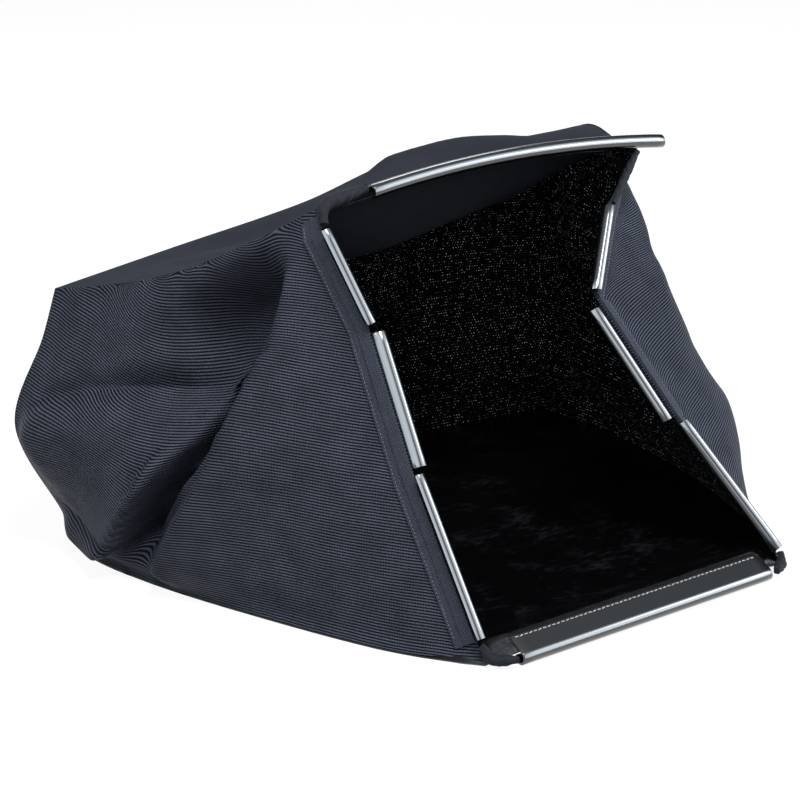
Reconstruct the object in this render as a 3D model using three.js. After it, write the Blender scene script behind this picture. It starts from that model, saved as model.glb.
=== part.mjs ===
import * as THREE from 'three';

// Grass bag for a walk-behind mower: a soft fabric body that lies on its base and sags,
// with plastic clips sewn round its slanted mouth that are pushed onto a wire frame.
// Millimetres. X runs across the mouth, Y from the mouth to the rear, Z up.

// Mouth
const mouthWidth = 350;
const mouthLean = 32.5;
const footLead = 14;
const leftFootRise = 22;
const rightFootRise = 16;
const leftTopRise = 22;
const rightTopRise = 60;
const leftTopShift = 6;
const rightTopShift = 72;
const rightFootOut = 5;
const topBow = 14;
const topClipOverhang = 18;
const bottomClipShift = 4.7;

// Body, as it lies
const bagLength = 474;
const panelDepthShare = 0.8;
const leftSpread = 120;
const rightSpread = 122;
const rearHeightLeft = 241;
const rearHeightRight = 300;
const rearRightLead = 4;
const rearLeftLean = 6;
const rearRightDraw = 18;

// Cloth
const clothThickness = 1.4;
const vinylThickness = 1.6;
const hemThickness = 1.2;
const hemWidth = 20;
const tapeThickness = 1;
const clearance = 0.3;

// Clips
const lowerClipLength = 148;
const middleClipLength = 122;
const upperClipLength = 90;
const topClipLength = 345;
const bottomClipLength = 296;
const clipGap = 7;
const bendGap = 13;
const clipWall = 2;
const clipFlange = 15;
const clipNeck = 4;
const wireChannel = 9;
const sideHookTurn = 170;
const topHookTurn = 205;
const bottomHookTurn = 250;
const bottomClipTilt = 27;

// Gathered corners
const gatherRadius = 6.5;
const gatherRibs = 9;
const gatherRibDepth = 0.8;
const strapRadius = 3.9;
const bindingRadius = 5.2;
const bindingRibs = 4;
const bindingRibDepth = 0.3;
const pastClip = 5;
const underCorner = 3;
const besideTopClip = 6;
const strapBesideClip = 6;
const strapShare = 0.55;
const strapUnderCorner = 17;

// Cells of the panels along the body, and points round a hook
const bodyCells = 22;
const hookSteps = 9;
const topCells = 3;

const right = new THREE.Vector3(1, 0, 0);
const up = new THREE.Vector3(0, 0, 1);
const lean = THREE.MathUtils.degToRad(mouthLean);
const upSlope = new THREE.Vector3(0, Math.sin(lean), Math.cos(lean));
const intoMouth = new THREE.Vector3(0, Math.cos(lean), -Math.sin(lean));

const vector = (x, y, z) => new THREE.Vector3(x, y, z);
const mix = (a, b, share) => a.clone().lerp(b, share);
const along = (point, direction, distance) => point.clone().addScaledVector(direction, distance);
const radians = THREE.MathUtils.degToRad;

function smoothStep(share) {
  const inside = Math.min(Math.max(share, 0), 1);
  return inside * inside * (3 - 2 * inside);
}

// A station is a place on the mouth's edge: the front edge of the cloth, the direction in
// which the cloth runs back from it, and the direction that faces out of the bag there.
function station(point, outOfMouth, flare) {
  const run = intoMouth.clone().multiplyScalar(Math.cos(radians(flare)));
  run.addScaledVector(outOfMouth, Math.sin(radians(flare)));
  const out = outOfMouth.clone().multiplyScalar(Math.cos(radians(flare)));
  out.addScaledVector(intoMouth, -Math.sin(radians(flare)));
  return { point, run, out };
}

function cornerStation(point, run) {
  return { point, run: run.clone().normalize() };
}

// Each side of the mouth: its foot, and for each clip, in degrees, how far it leans towards
// +X, how far the cloth behind it flares out from the mouth's axis, and how far that cloth is
// skewed from square to the clip where the side bends. The gap is the one above the clip.
const sideWalks = {
  left: {
    sign: -1,
    foot: vector(-mouthWidth / 2, 0, 0),
    footRise: leftFootRise,
    topRise: leftTopRise,
    topShift: leftTopShift,
    clips: [
      { name: 'lower', length: lowerClipLength, lean: -1.5, flare: 30, cells: 6, curl: 1 },
      { name: 'middle', length: middleClipLength, lean: 3, flare: 27, cells: 5, curl: -1 },
      { name: 'upper', length: upperClipLength, lean: -8, flare: 24, cells: 4, curl: 1 },
    ],
  },
  right: {
    sign: 1,
    foot: vector(mouthWidth / 2 + rightFootOut, 0, 0),
    footRise: rightFootRise,
    topRise: rightTopRise,
    topShift: rightTopShift,
    clips: [
      { name: 'lower', length: lowerClipLength, lean: -22, flare: 53, skew: 4, cells: 6, curl: 1 },
      {
        name: 'middle',
        length: middleClipLength,
        lean: -17.5,
        flare: 60,
        skew: 8,
        gap: bendGap,
        cells: 5,
        curl: -1,
      },
      { name: 'upper', length: upperClipLength, lean: 34, flare: 56, skew: -10, cells: 4, curl: 1 },
    ],
  },
};

// Walks up one side of the mouth, clip by clip.
function walkSide(side) {
  const spans = [];
  let place = along(side.foot, upSlope, side.footRise);
  for (const clip of side.clips) {
    const turn = radians(clip.lean);
    const axis = upSlope.clone().multiplyScalar(Math.cos(turn)).addScaledVector(right, Math.sin(turn));
    const square = turn + radians(clip.skew ?? 0);
    const outOfMouth = right.clone().multiplyScalar(Math.cos(square));
    outOfMouth.addScaledVector(upSlope, -Math.sin(square)).multiplyScalar(side.sign);
    const end = along(place, axis, clip.length);
    spans.push({
      ...clip,
      start: station(place, outOfMouth, clip.flare),
      end: station(end, outOfMouth, clip.flare),
    });
    place = along(end, axis, clip.gap ?? clipGap);
  }
  const last = spans[spans.length - 1].end.point;
  const top = along(along(last, upSlope, side.topRise), right, side.topShift);
  return { foot: side.foot, spans, top };
}

const leftWalk = walkSide(sideWalks.left);
const rightWalk = walkSide(sideWalks.right);

const topFlare = -4;
const topRightRun = station(rightWalk.top, upSlope, topFlare).run;

const corners = {
  bottomLeft: cornerStation(leftWalk.foot, vector(-0.6, 0.8, 0)),
  bottomRight: cornerStation(rightWalk.foot, vector(0.6, 0.8, 0)),
  topLeft: cornerStation(leftWalk.top, vector(-0.4, 0.78, -0.48)),
  topRight: cornerStation(rightWalk.top, topRightRun),
};

function sideEdge(walk, bottomCorner, topCorner) {
  const stations = [bottomCorner];
  const cells = [1];
  for (const span of walk.spans) {
    stations.push(span.start, span.end);
    cells.push(span.cells, 1);
  }
  stations.push(topCorner);
  cells[cells.length - 1] = topCells;
  return { stations, cells };
}

// The hook's centre in the plane of a station: along the cloth's run, and out of the bag.
const channelRadius = wireChannel / 2;
const hookRadius = channelRadius + clipWall;
const wallMiddle = channelRadius + clipWall / 2;

function flangeMiddle(clothUnder, flangeSide) {
  const inner = clothUnder + clearance + clipWall / 2;
  return flangeSide > 0 ? clearance + clipWall / 2 : -inner;
}

// The bottom clip's hook touches the floor, and that sets the height of the vinyl's edge.
const tilt = radians(bottomClipTilt);
const bottomHookMiddle = flangeMiddle(vinylThickness, -1) + wallMiddle;
const vinylEdgeHeight = clipNeck * Math.sin(tilt) + bottomHookMiddle * Math.cos(tilt) + hookRadius;
const bottomFlare = -(mouthLean + bottomClipTilt);
const downSlope = upSlope.clone().negate();

function bottomEdge() {
  const footMiddle = (corners.bottomLeft.point.x + corners.bottomRight.point.x) / 2;
  const middle = footMiddle - bottomClipShift;
  const startPoint = vector(middle - bottomClipLength / 2, -footLead, vinylEdgeHeight);
  const endPoint = vector(middle + bottomClipLength / 2, -footLead, vinylEdgeHeight);
  const start = station(startPoint, downSlope, bottomFlare);
  const end = station(endPoint, downSlope, bottomFlare);
  const stations = [corners.bottomLeft, start, end, corners.bottomRight];
  return { stations, cells: [2, 11, 2], start, end };
}

// The top clip is bent in a shallow bow, so its stations lie on a parabola. It overhangs the
// right corner of the cloth.
const bowCells = 13;

function topEdge() {
  const from = corners.topLeft.point;
  const to = corners.topRight.point;
  const span = to.x - from.x;
  const firstShare = 1 - (topClipLength - topClipOverhang) / span;
  const bowed = (share) => along(mix(from, to, share), upSlope, topBow * 4 * share * (1 - share));
  const bowStation = (share) => station(bowed(share), upSlope, topFlare);
  const bowStations = [];
  for (let k = 0; k <= bowCells; k++) {
    bowStations.push(bowStation(firstShare + ((1 - firstShare) * k) / bowCells));
  }
  const clipStations = [...bowStations, bowStation(1 + topClipOverhang / span)];
  const cells = [2].concat(bowStations.slice(1).map(() => 1));
  return { stations: [corners.topLeft, ...bowStations], cells, clipStations };
}

const edges = {
  left: sideEdge(leftWalk, corners.bottomLeft, corners.topLeft),
  right: sideEdge(rightWalk, corners.bottomRight, corners.topRight),
  bottom: bottomEdge(),
  top: topEdge(),
};

// Rows of a panel at its mouth edge, with the share of the edge's length that each one lies at.
function edgeRows(edge) {
  const rows = [];
  let walked = 0;
  for (let k = 0; k < edge.cells.length; k++) {
    const a = edge.stations[k];
    const b = edge.stations[k + 1];
    const length = a.point.distanceTo(b.point);
    for (let step = 0; step < edge.cells[k]; step++) {
      const share = step / edge.cells[k];
      const run = mix(a.run, b.run, share).normalize();
      rows.push({ point: mix(a.point, b.point, share), run, at: walked + share * length });
    }
    walked += length;
  }
  const last = edge.stations[edge.stations.length - 1];
  rows.push({ point: last.point.clone(), run: last.run.clone(), at: walked });
  for (const row of rows) {
    row.share = row.at / walked;
  }
  return rows;
}

const rows = {
  left: edgeRows(edges.left),
  right: edgeRows(edges.right),
  bottom: edgeRows(edges.bottom),
  top: edgeRows(edges.top),
};

// A seam from one point to another, pushed off the straight line at the shares given. The pushes
// are shares of the bag's length.
function seamCurve(from, to, bends) {
  const points = [from];
  for (const bend of bends) {
    points.push(along(mix(from, to, bend.at), bend.by, bagLength));
  }
  points.push(to);
  return new THREE.CatmullRomCurve3(points, false, 'centripetal');
}

function lengthSeam(corner, to, bends) {
  const hemEnd = along(corner.point, corner.run, hemWidth);
  const curve = seamCurve(hemEnd, to, bends);
  const points = [corner.point.clone(), along(corner.point, corner.run, hemWidth / 2)];
  for (let k = 0; k <= bodyCells; k++) {
    points.push(curve.getPointAt(k / bodyCells));
  }
  return points;
}

const rearCorners = {
  bottomLeft: vector(-mouthWidth / 2 - leftSpread, bagLength, 0),
  bottomRight: vector(mouthWidth / 2 + rightSpread, bagLength - rearRightLead, 0),
  topLeft: vector(-mouthWidth / 2 - leftSpread, bagLength + rearLeftLean, rearHeightLeft),
  topRight: vector(
    mouthWidth / 2 + rightSpread - rearRightDraw,
    bagLength - rearRightLead,
    rearHeightRight,
  ),
};

const seams = {
  topLeft: lengthSeam(corners.topLeft, rearCorners.topLeft, [
    { at: 0.16, by: vector(-0.013, 0, -0.021) },
    { at: 0.5, by: vector(-0.006, 0, -0.038) },
    { at: 0.8, by: vector(-0.008, 0, -0.021) },
  ]),
  topRight: lengthSeam(corners.topRight, rearCorners.topRight, [
    { at: 0.15, by: vector(0.008, 0, 0.013) },
    { at: 0.45, by: vector(0.017, 0, 0.042) },
    { at: 0.75, by: vector(0.013, 0, 0.017) },
  ]),
  bottomLeft: lengthSeam(corners.bottomLeft, rearCorners.bottomLeft, [
    { at: 0.12, by: vector(-0.042, 0, 0) },
    { at: 0.38, by: vector(-0.076, 0, 0) },
    { at: 0.68, by: vector(-0.089, 0, 0) },
    { at: 0.86, by: vector(-0.068, 0.008, 0) },
  ]),
  bottomRight: lengthSeam(corners.bottomRight, rearCorners.bottomRight, [
    { at: 0.15, by: vector(0.046, 0, 0) },
    { at: 0.45, by: vector(0.08, 0, 0) },
    { at: 0.75, by: vector(0.063, 0, 0) },
  ]),
};

const rearEdges = {
  left: seamCurve(rearCorners.bottomLeft, rearCorners.topLeft, [
    { at: 0.08, by: vector(-0.008, 0.008, 0) },
    { at: 0.5, by: vector(-0.105, 0.004, 0) },
    { at: 0.82, by: vector(-0.034, 0, 0) },
  ]),
  right: seamCurve(rearCorners.bottomRight, rearCorners.topRight, [
    { at: 0.1, by: vector(0.017, 0.008, 0) },
    { at: 0.45, by: vector(0.072, 0.013, 0) },
    { at: 0.8, by: vector(0.03, 0.004, 0) },
  ]),
  bottom: seamCurve(rearCorners.bottomLeft, rearCorners.bottomRight, [
    { at: 0.25, by: vector(0, 0.034, 0) },
    { at: 0.7, by: vector(0, 0.042, 0) },
  ]),
  top: seamCurve(rearCorners.topLeft, rearCorners.topRight, [
    { at: 0.25, by: vector(0, 0.046, -0.008) },
    { at: 0.5, by: vector(0, 0.03, 0.008) },
    { at: 0.75, by: vector(0, 0.055, 0.03) },
  ]),
};

// Folds are lines on a panel in shares of its length and height. Each one lifts the cloth
// out of the bag by its height, or sinks it in, over a width. Both are shares of the bag's length.
const foldScale = new THREE.Vector2(1, panelDepthShare);
const foldSoftness = 1.5;

function distanceToLine(place, from, to) {
  const line = to.clone().sub(from);
  const share = place.clone().sub(from).dot(line) / line.lengthSq();
  const held = Math.min(Math.max(share, 0), 1);
  return place.distanceTo(from.clone().addScaledVector(line, held));
}

function foldLift(fold, u, v) {
  const place = new THREE.Vector2(u, v).multiply(foldScale);
  const path = fold.path.map(([x, y]) => new THREE.Vector2(x, y).multiply(foldScale));
  let nearest = Infinity;
  for (let k = 0; k < path.length - 1; k++) {
    nearest = Math.min(nearest, distanceToLine(place, path[k], path[k + 1]));
  }
  const form = Math.exp(-Math.pow(nearest / fold.width, fold.soft ?? foldSoftness));
  return bagLength * fold.height * form;
}

const panelFolds = {
  left: [
    {
      path: [[0.04, 0.94], [0.28, 0.72], [0.47, 0.42], [0.66, 0.06]],
      width: 0.055,
      height: 0.034,
      soft: 1.1,
    },
    { path: [[0.2, 0.92], [0.34, 0.8], [0.44, 0.66]], width: 0.084, height: -0.084 },
    { path: [[0.55, 0.74], [0.75, 0.78], [0.98, 0.74]], width: 0.072, height: -0.025 },
    { path: [[0.58, 0.58], [0.8, 0.55], [0.96, 0.48]], width: 0.105, height: 0.055 },
    { path: [[0.5, 0.62], [0.6, 0.48], [0.72, 0.28], [0.8, 0.12]], width: 0.038, height: 0.046, soft: 1.1 },
    {
      path: [[0.48, 0.54], [0.57, 0.4], [0.68, 0.25], [0.76, 0.13]],
      width: 0.032,
      height: -0.072,
      soft: 1.3,
    },
    { path: [[0.42, 0.54], [0.5, 0.4], [0.62, 0.26], [0.72, 0.14]], width: 0.03, height: 0.034, soft: 1.2 },
    { path: [[0.74, 0.07], [0.98, 0.08]], width: 0.03, height: 0.025 },
  ],
  right: [
    { path: [[0.22, 0.24], [0.15, 0.45], [0.15, 0.76]], width: 0.139, height: 0.101, soft: 2 },
    { path: [[0.3, 0.2], [0.5, 0.3]], width: 0.105, height: 0.03 },
    { path: [[0.35, 0.78], [0.55, 0.6], [0.6, 0.4]], width: 0.063, height: -0.034 },
    { path: [[0.6, 0.3], [0.95, 0.45]], width: 0.148, height: 0.038 },
    { path: [[0.6, 0.1], [0.85, 0.2]], width: 0.046, height: -0.03 },
  ],
  top: [
    { path: [[0.28, 0.3], [0.3, 0.68]], width: 0.211, height: -0.097, soft: 2 },
    { path: [[0.5, 0.25], [0.85, 0.35]], width: 0.127, height: -0.03 },
    { path: [[0.5, 0.8], [0.85, 0.66]], width: 0.072, height: 0.034 },
    { path: [[0.3, 0.12], [0.75, 0.2]], width: 0.051, height: 0.015 },
  ],
  rear: [
    { path: [[0.2, 0.5], [0.8, 0.5]], width: 0.253, height: 0.038, soft: 2 },
    { path: [[0.3, 0.9], [0.45, 0.35]], width: 0.059, height: -0.042 },
    { path: [[0.7, 0.85], [0.55, 0.3]], width: 0.055, height: -0.03 },
    { path: [[0.15, 0.25], [0.4, 0.15]], width: 0.063, height: 0.021 },
  ],
};

// The cloth keeps to its seams: a fold fades out over the last stretch before one.
const seamHold = 0.13;

function seamFade(u, v) {
  const fade = (share) => smoothStep(share / seamHold);
  return fade(u) * fade(1 - u) * fade(v) * fade(1 - v);
}

function coonsPoint(u, v, near, far, low, high, cornersOf) {
  const point = near.clone().multiplyScalar(1 - u).addScaledVector(far, u);
  point.addScaledVector(low, 1 - v).addScaledVector(high, v);
  point.addScaledVector(cornersOf.nearLow, -(1 - u) * (1 - v));
  point.addScaledVector(cornersOf.farLow, -u * (1 - v));
  point.addScaledVector(cornersOf.nearHigh, -(1 - u) * v);
  point.addScaledVector(cornersOf.farHigh, -u * v);
  return point;
}

// Facing of a grid of points at one of them, by its neighbours.
function gridNormal(points, j, i) {
  const lastRow = points.length - 1;
  const lastColumn = points[0].length - 1;
  const below = points[Math.max(j - 1, 0)][i];
  const above = points[Math.min(j + 1, lastRow)][i];
  const before = points[j][Math.max(i - 1, 0)];
  const after = points[j][Math.min(i + 1, lastColumn)];
  return above.clone().sub(below).cross(after.clone().sub(before)).normalize();
}

function meanPoint(points) {
  const sum = vector(0, 0, 0);
  for (const row of points) {
    for (const point of row) {
      sum.add(point);
    }
  }
  return sum.divideScalar(points.length * points[0].length);
}

// The facing of a whole grid, so that its normals can be turned out of the bag.
function outwardSign(points, bagMiddle) {
  const mean = vector(0, 0, 0);
  for (let j = 1; j < points.length - 1; j++) {
    for (let i = 1; i < points[0].length - 1; i++) {
      mean.add(gridNormal(points, j, i));
    }
  }
  return mean.dot(meanPoint(points).sub(bagMiddle)) > 0 ? 1 : -1;
}

const bagMiddle = vector(0, bagLength / 2, rearHeightLeft / 2);

function foldedGrid(points, folds, shareOf) {
  const sign = outwardSign(points, bagMiddle);
  return points.map((row, j) => row.map((point, i) => {
    const { u, v } = shareOf(j, i);
    let lift = 0;
    for (const fold of folds) {
      lift += foldLift(fold, u, v);
    }
    return along(point, gridNormal(points, j, i), sign * lift * seamFade(u, v));
  }));
}

// A panel that runs from the mouth's edge to the rear, between two lengthwise seams. Its rows
// follow the clips at the mouth and are evenly spaced at the rear.
function lengthPanel(edge, lowSeam, highSeam, rearCurve, folds) {
  const cornersOf = {
    nearLow: lowSeam[2],
    nearHigh: highSeam[2],
    farLow: lowSeam[lowSeam.length - 1],
    farHigh: highSeam[highSeam.length - 1],
  };
  const shareOf = (j, i) => {
    const u = Math.max(i - 2, 0) / bodyCells;
    return { u, v: THREE.MathUtils.lerp(edge[j].share, j / (edge.length - 1), u) };
  };
  const points = edge.map((row, j) => {
    const hemEnd = along(row.point, row.run, hemWidth);
    const rear = rearCurve.getPointAt(j / (edge.length - 1));
    const line = [row.point.clone(), along(row.point, row.run, hemWidth / 2)];
    for (let i = 2; i < lowSeam.length; i++) {
      const { u, v } = shareOf(j, i);
      line.push(coonsPoint(u, v, hemEnd, rear, lowSeam[i], highSeam[i], cornersOf));
    }
    return line;
  });
  return foldedGrid(points, folds, shareOf);
}

// The vinyl base comes off the clip and settles on the floor.
const settleLength = 60;

function settled(points) {
  return points.map((row) => row.map((point, i) => {
    if (i <= 2) {
      return point;
    }
    const gone = smoothStep(point.distanceTo(row[2]) / settleLength);
    return vector(point.x, point.y, row[2].z * (1 - gone));
  }));
}

function rearPanel() {
  const across = rows.bottom.length - 1;
  const upward = rows.left.length - 1;
  const shareOf = (j, i) => ({ u: i / across, v: j / upward });
  const cornersOf = {
    nearLow: rearCorners.bottomLeft,
    nearHigh: rearCorners.topLeft,
    farLow: rearCorners.bottomRight,
    farHigh: rearCorners.topRight,
  };
  const points = rows.left.map((row, j) => rows.bottom.map((column, i) => {
    const { u, v } = shareOf(j, i);
    const near = rearEdges.left.getPointAt(v);
    const far = rearEdges.right.getPointAt(v);
    const low = rearEdges.bottom.getPointAt(u);
    const high = rearEdges.top.getPointAt(u);
    return coonsPoint(u, v, near, far, low, high, cornersOf);
  }));
  return foldedGrid(points, panelFolds.rear, shareOf);
}

const grids = {
  left: lengthPanel(rows.left, seams.bottomLeft, seams.topLeft, rearEdges.left, panelFolds.left),
  right: lengthPanel(rows.right, seams.bottomRight, seams.topRight, rearEdges.right, panelFolds.right),
  bottom: settled(lengthPanel(rows.bottom, seams.bottomLeft, seams.bottomRight, rearEdges.bottom, [])),
  top: lengthPanel(rows.top, seams.topLeft, seams.topRight, rearEdges.top, panelFolds.top),
  rear: rearPanel(),
};

// Where panels meet, their facings are averaged, so that their edges are mitred.
const samePlace = 0.02;
const placeKey = (point) => point.toArray().map((value) => Math.round(value / samePlace)).join(' ');

function sharedNormals() {
  const sums = new Map();
  const own = {};
  for (const [name, points] of Object.entries(grids)) {
    const sign = outwardSign(points, bagMiddle);
    own[name] = points.map((row, j) => row.map((point, i) => {
      const normal = gridNormal(points, j, i).multiplyScalar(sign);
      const key = placeKey(point);
      if (!sums.has(key)) {
        sums.set(key, vector(0, 0, 0));
      }
      sums.get(key).add(normal);
      return key;
    }));
  }
  const normals = {};
  for (const [name, keys] of Object.entries(own)) {
    normals[name] = keys.map((row) => row.map((key) => sums.get(key).clone().normalize()));
  }
  return normals;
}

const normals = sharedNormals();

function triangles(faces) {
  const geometry = new THREE.BufferGeometry();
  const positions = [];
  for (const face of faces) {
    for (const point of face) {
      positions.push(point.x, point.y, point.z);
    }
  }
  geometry.setAttribute('position', new THREE.Float32BufferAttribute(positions, 3));
  return geometry;
}

// Turns a closed set of faces the right way out, by the volume that it encloses.
function closedSolid(faces) {
  let volume = 0;
  for (const [a, b, c] of faces) {
    volume += a.dot(b.clone().cross(c));
  }
  return triangles(volume > 0 ? faces : faces.map(([a, b, c]) => [a, c, b]));
}

function quad(faces, a, b, c, d) {
  faces.push([a, b, c], [a, c, d]);
}

// Moves the rim of a grid in by its share of the gap that two pieces keep.
const rimShare = 0.7;

function drawnIn(points) {
  const lastRow = points.length - 1;
  const lastColumn = points[0].length - 1;
  const gap = clearance * rimShare;
  return points.map((row, j) => row.map((point, i) => {
    const neighbours = [];
    if (j === 0) {
      neighbours.push(points[1][i]);
    }
    if (j === lastRow) {
      neighbours.push(points[lastRow - 1][i]);
    }
    if (i === 0) {
      neighbours.push(row[1]);
    }
    if (i === lastColumn) {
      neighbours.push(row[lastColumn - 1]);
    }
    const moved = point.clone();
    for (const neighbour of neighbours) {
      moved.addScaledVector(neighbour.clone().sub(point).normalize(), gap);
    }
    return moved;
  }));
}

// A closed sheet between two depths from a grid, positive out of the bag.
function sheetSolid(points, facing, outer, inner) {
  const base = drawnIn(points);
  const offset = (depth) => base.map((row, j) => row.map((point, i) => along(point, facing[j][i], depth)));
  const top = offset(outer);
  const under = offset(inner);
  const faces = [];
  const lastRow = points.length - 1;
  const lastColumn = points[0].length - 1;
  for (let j = 0; j < lastRow; j++) {
    for (let i = 0; i < lastColumn; i++) {
      quad(faces, top[j + 1][i], top[j][i], top[j][i + 1], top[j + 1][i + 1]);
      quad(faces, under[j][i + 1], under[j][i], under[j + 1][i], under[j + 1][i + 1]);
    }
  }
  for (let j = 0; j < lastRow; j++) {
    quad(faces, top[j][0], top[j + 1][0], under[j + 1][0], under[j][0]);
    quad(faces, under[j][lastColumn], under[j + 1][lastColumn], top[j + 1][lastColumn], top[j][lastColumn]);
  }
  for (let i = 0; i < lastColumn; i++) {
    quad(faces, under[0][i], under[0][i + 1], top[0][i + 1], top[0][i]);
    quad(faces, top[lastRow][i], top[lastRow][i + 1], under[lastRow][i + 1], under[lastRow][i]);
  }
  return closedSolid(faces);
}

// A solid through a row of closed outlines, with flat ends.
function loft(rings, flatOutline) {
  const faces = [];
  const count = rings[0].length;
  for (let k = 0; k < rings.length - 1; k++) {
    for (let n = 0; n < count; n++) {
      const next = (n + 1) % count;
      quad(faces, rings[k][n], rings[k][next], rings[k + 1][next], rings[k + 1][n]);
    }
  }
  const last = rings[rings.length - 1];
  for (const [a, b, c] of THREE.ShapeUtils.triangulateShape(flatOutline, [])) {
    faces.push([rings[0][c], rings[0][b], rings[0][a]], [last[a], last[b], last[c]]);
  }
  return closedSolid(faces);
}

// The clip's section: a flange along the cloth, then a hook that curls round the wire.
function clipOutline({ cloth, flangeSide, curl, hookTurn }) {
  const flange = flangeMiddle(cloth, flangeSide);
  const half = clipWall / 2;
  const arc = (radius, turn) => new THREE.Vector2(
    -clipNeck - radius * Math.sin(turn),
    flange + curl * (wallMiddle - radius * Math.cos(turn)),
  );
  const outline = [new THREE.Vector2(clipFlange, flange - curl * half)];
  for (let k = 0; k <= hookSteps; k++) {
    outline.push(arc(hookRadius, radians(hookTurn * k / hookSteps)));
  }
  for (let k = hookSteps; k >= 0; k--) {
    outline.push(arc(channelRadius, radians(hookTurn * k / hookSteps)));
  }
  outline.push(new THREE.Vector2(clipFlange, flange + curl * half));
  return outline.reverse();
}

function sectionRing(place, outline) {
  return outline.map((at) => along(along(place.point, place.run, at.x), place.out, at.y));
}

function clipSolid(stations, section) {
  const outline = clipOutline(section);
  const oriented = THREE.ShapeUtils.area(outline) > 0 ? outline : outline.slice().reverse();
  return loft(stations.map((place) => sectionRing(place, oriented)), oriented);
}

// A gathered roll of cloth along a path, ribbed across by the pulled-up folds. It narrows to
// its ends.
const rollSides = 10;
const endSwell = 0.45;
const endShare = 0.06;

function rollSwell(share) {
  const held = Math.min(Math.max(share, endShare), 1 - endShare);
  return endSwell + (1 - endSwell) * Math.sin(Math.PI * held);
}

function gatheredRoll(path, radius, ribs, ribDepth) {
  const curve = new THREE.CatmullRomCurve3(path, false, 'centripetal');
  const steps = ribs * 2;
  const circle = [];
  for (let n = 0; n < rollSides; n++) {
    const turn = (n * 2 * Math.PI) / rollSides;
    circle.push(new THREE.Vector2(Math.cos(turn), Math.sin(turn)));
  }
  const frames = curve.computeFrenetFrames(steps, false);
  const rings = [];
  for (let k = 0; k <= steps; k++) {
    const share = k / steps;
    const size = radius * rollSwell(share) - (k % 2) * ribDepth;
    const centre = curve.getPointAt(share);
    const aside = (at) => along(centre, frames.normals[k], at.x * size);
    rings.push(circle.map((at) => along(aside(at), frames.binormals[k], at.y * size)));
  }
  return loft(rings, circle);
}

const finishes = {
  ribbedCloth: { color: 0x23262c, roughness: 0.75, metalness: 0 },
  smoothCloth: { color: 0x2b2b30, roughness: 0.9, metalness: 0 },
  vinyl: { color: 0x141518, roughness: 0.35, metalness: 0 },
  tape: { color: 0x2e3138, roughness: 0.8, metalness: 0 },
  clip: { color: 0x1b1c20, roughness: 0.2, metalness: 0 },
};

function piece(name, geometry, finish) {
  geometry.computeVertexNormals();
  const mesh = new THREE.Mesh(geometry, new THREE.MeshStandardMaterial(finish));
  mesh.name = name;
  return mesh;
}

function panelPieces() {
  const sheet = (name, depth) => sheetSolid(grids[name], normals[name], 0, -depth);
  return [
    piece('left_side_panel', sheet('left', clothThickness), finishes.ribbedCloth),
    piece('right_side_panel', sheet('right', clothThickness), finishes.ribbedCloth),
    piece('rear_panel', sheet('rear', clothThickness), finishes.ribbedCloth),
    piece('top_panel', sheet('top', clothThickness), finishes.smoothCloth),
    piece('bottom_panel', sheet('bottom', vinylThickness), finishes.vinyl),
  ];
}

// Hems and tapes lie on the first columns of their panel.
function hemStrip(name, columns, from, to) {
  const cut = (grid) => grid.slice(1, -1).map((row) => row.slice(0, columns));
  return sheetSolid(cut(grids[name]), cut(normals[name]), from, to);
}

function hemPieces() {
  const hemFrom = clearance;
  const hemTo = hemFrom + hemThickness;
  const tapeFrom = hemTo + clearance;
  const tapeTo = tapeFrom + tapeThickness;
  const facingFrom = -clothThickness - clearance;
  const facingTo = facingFrom - hemThickness;
  return [
    piece('left_mouth_hem', hemStrip('left', 3, hemTo, hemFrom), finishes.ribbedCloth),
    piece('right_mouth_hem', hemStrip('right', 3, hemTo, hemFrom), finishes.ribbedCloth),
    piece('left_edge_tape', hemStrip('left', 2, tapeTo, tapeFrom), finishes.tape),
    piece('right_edge_tape', hemStrip('right', 2, tapeTo, tapeFrom), finishes.tape),
    piece('top_mouth_facing', hemStrip('top', 3, facingFrom, facingTo), finishes.smoothCloth),
  ];
}

function clipPieces() {
  const pieces = [];
  for (const [sideName, walk] of [['left', leftWalk], ['right', rightWalk]]) {
    for (const span of walk.spans) {
      const section = {
        cloth: clothThickness,
        flangeSide: -1,
        curl: span.curl,
        hookTurn: sideHookTurn,
      };
      const solid = clipSolid([span.start, span.end], section);
      pieces.push(piece(`${sideName}_${span.name}_clip`, solid, finishes.clip));
    }
  }
  const topSection = { cloth: clothThickness, flangeSide: 1, curl: -1, hookTurn: topHookTurn };
  pieces.push(piece('top_clip', clipSolid(edges.top.clipStations, topSection), finishes.clip));
  const bottomSection = {
    cloth: vinylThickness,
    flangeSide: -1,
    curl: 1,
    hookTurn: bottomHookTurn,
  };
  const bottomSolid = clipSolid([edges.bottom.start, edges.bottom.end], bottomSection);
  pieces.push(piece('bottom_clip', bottomSolid, finishes.clip));
  return pieces;
}

// How the bindings of the bottom corners turn round the cloth's foot and reach for the clip.
const leftBindingTurn = vector(3, -2, 0);
const rightBindingTurn = vector(-3, 1, 0);
const leftBindingEnd = vector(-6, -8, -2);
const rightBindingEnd = vector(6, -8, -2);

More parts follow.
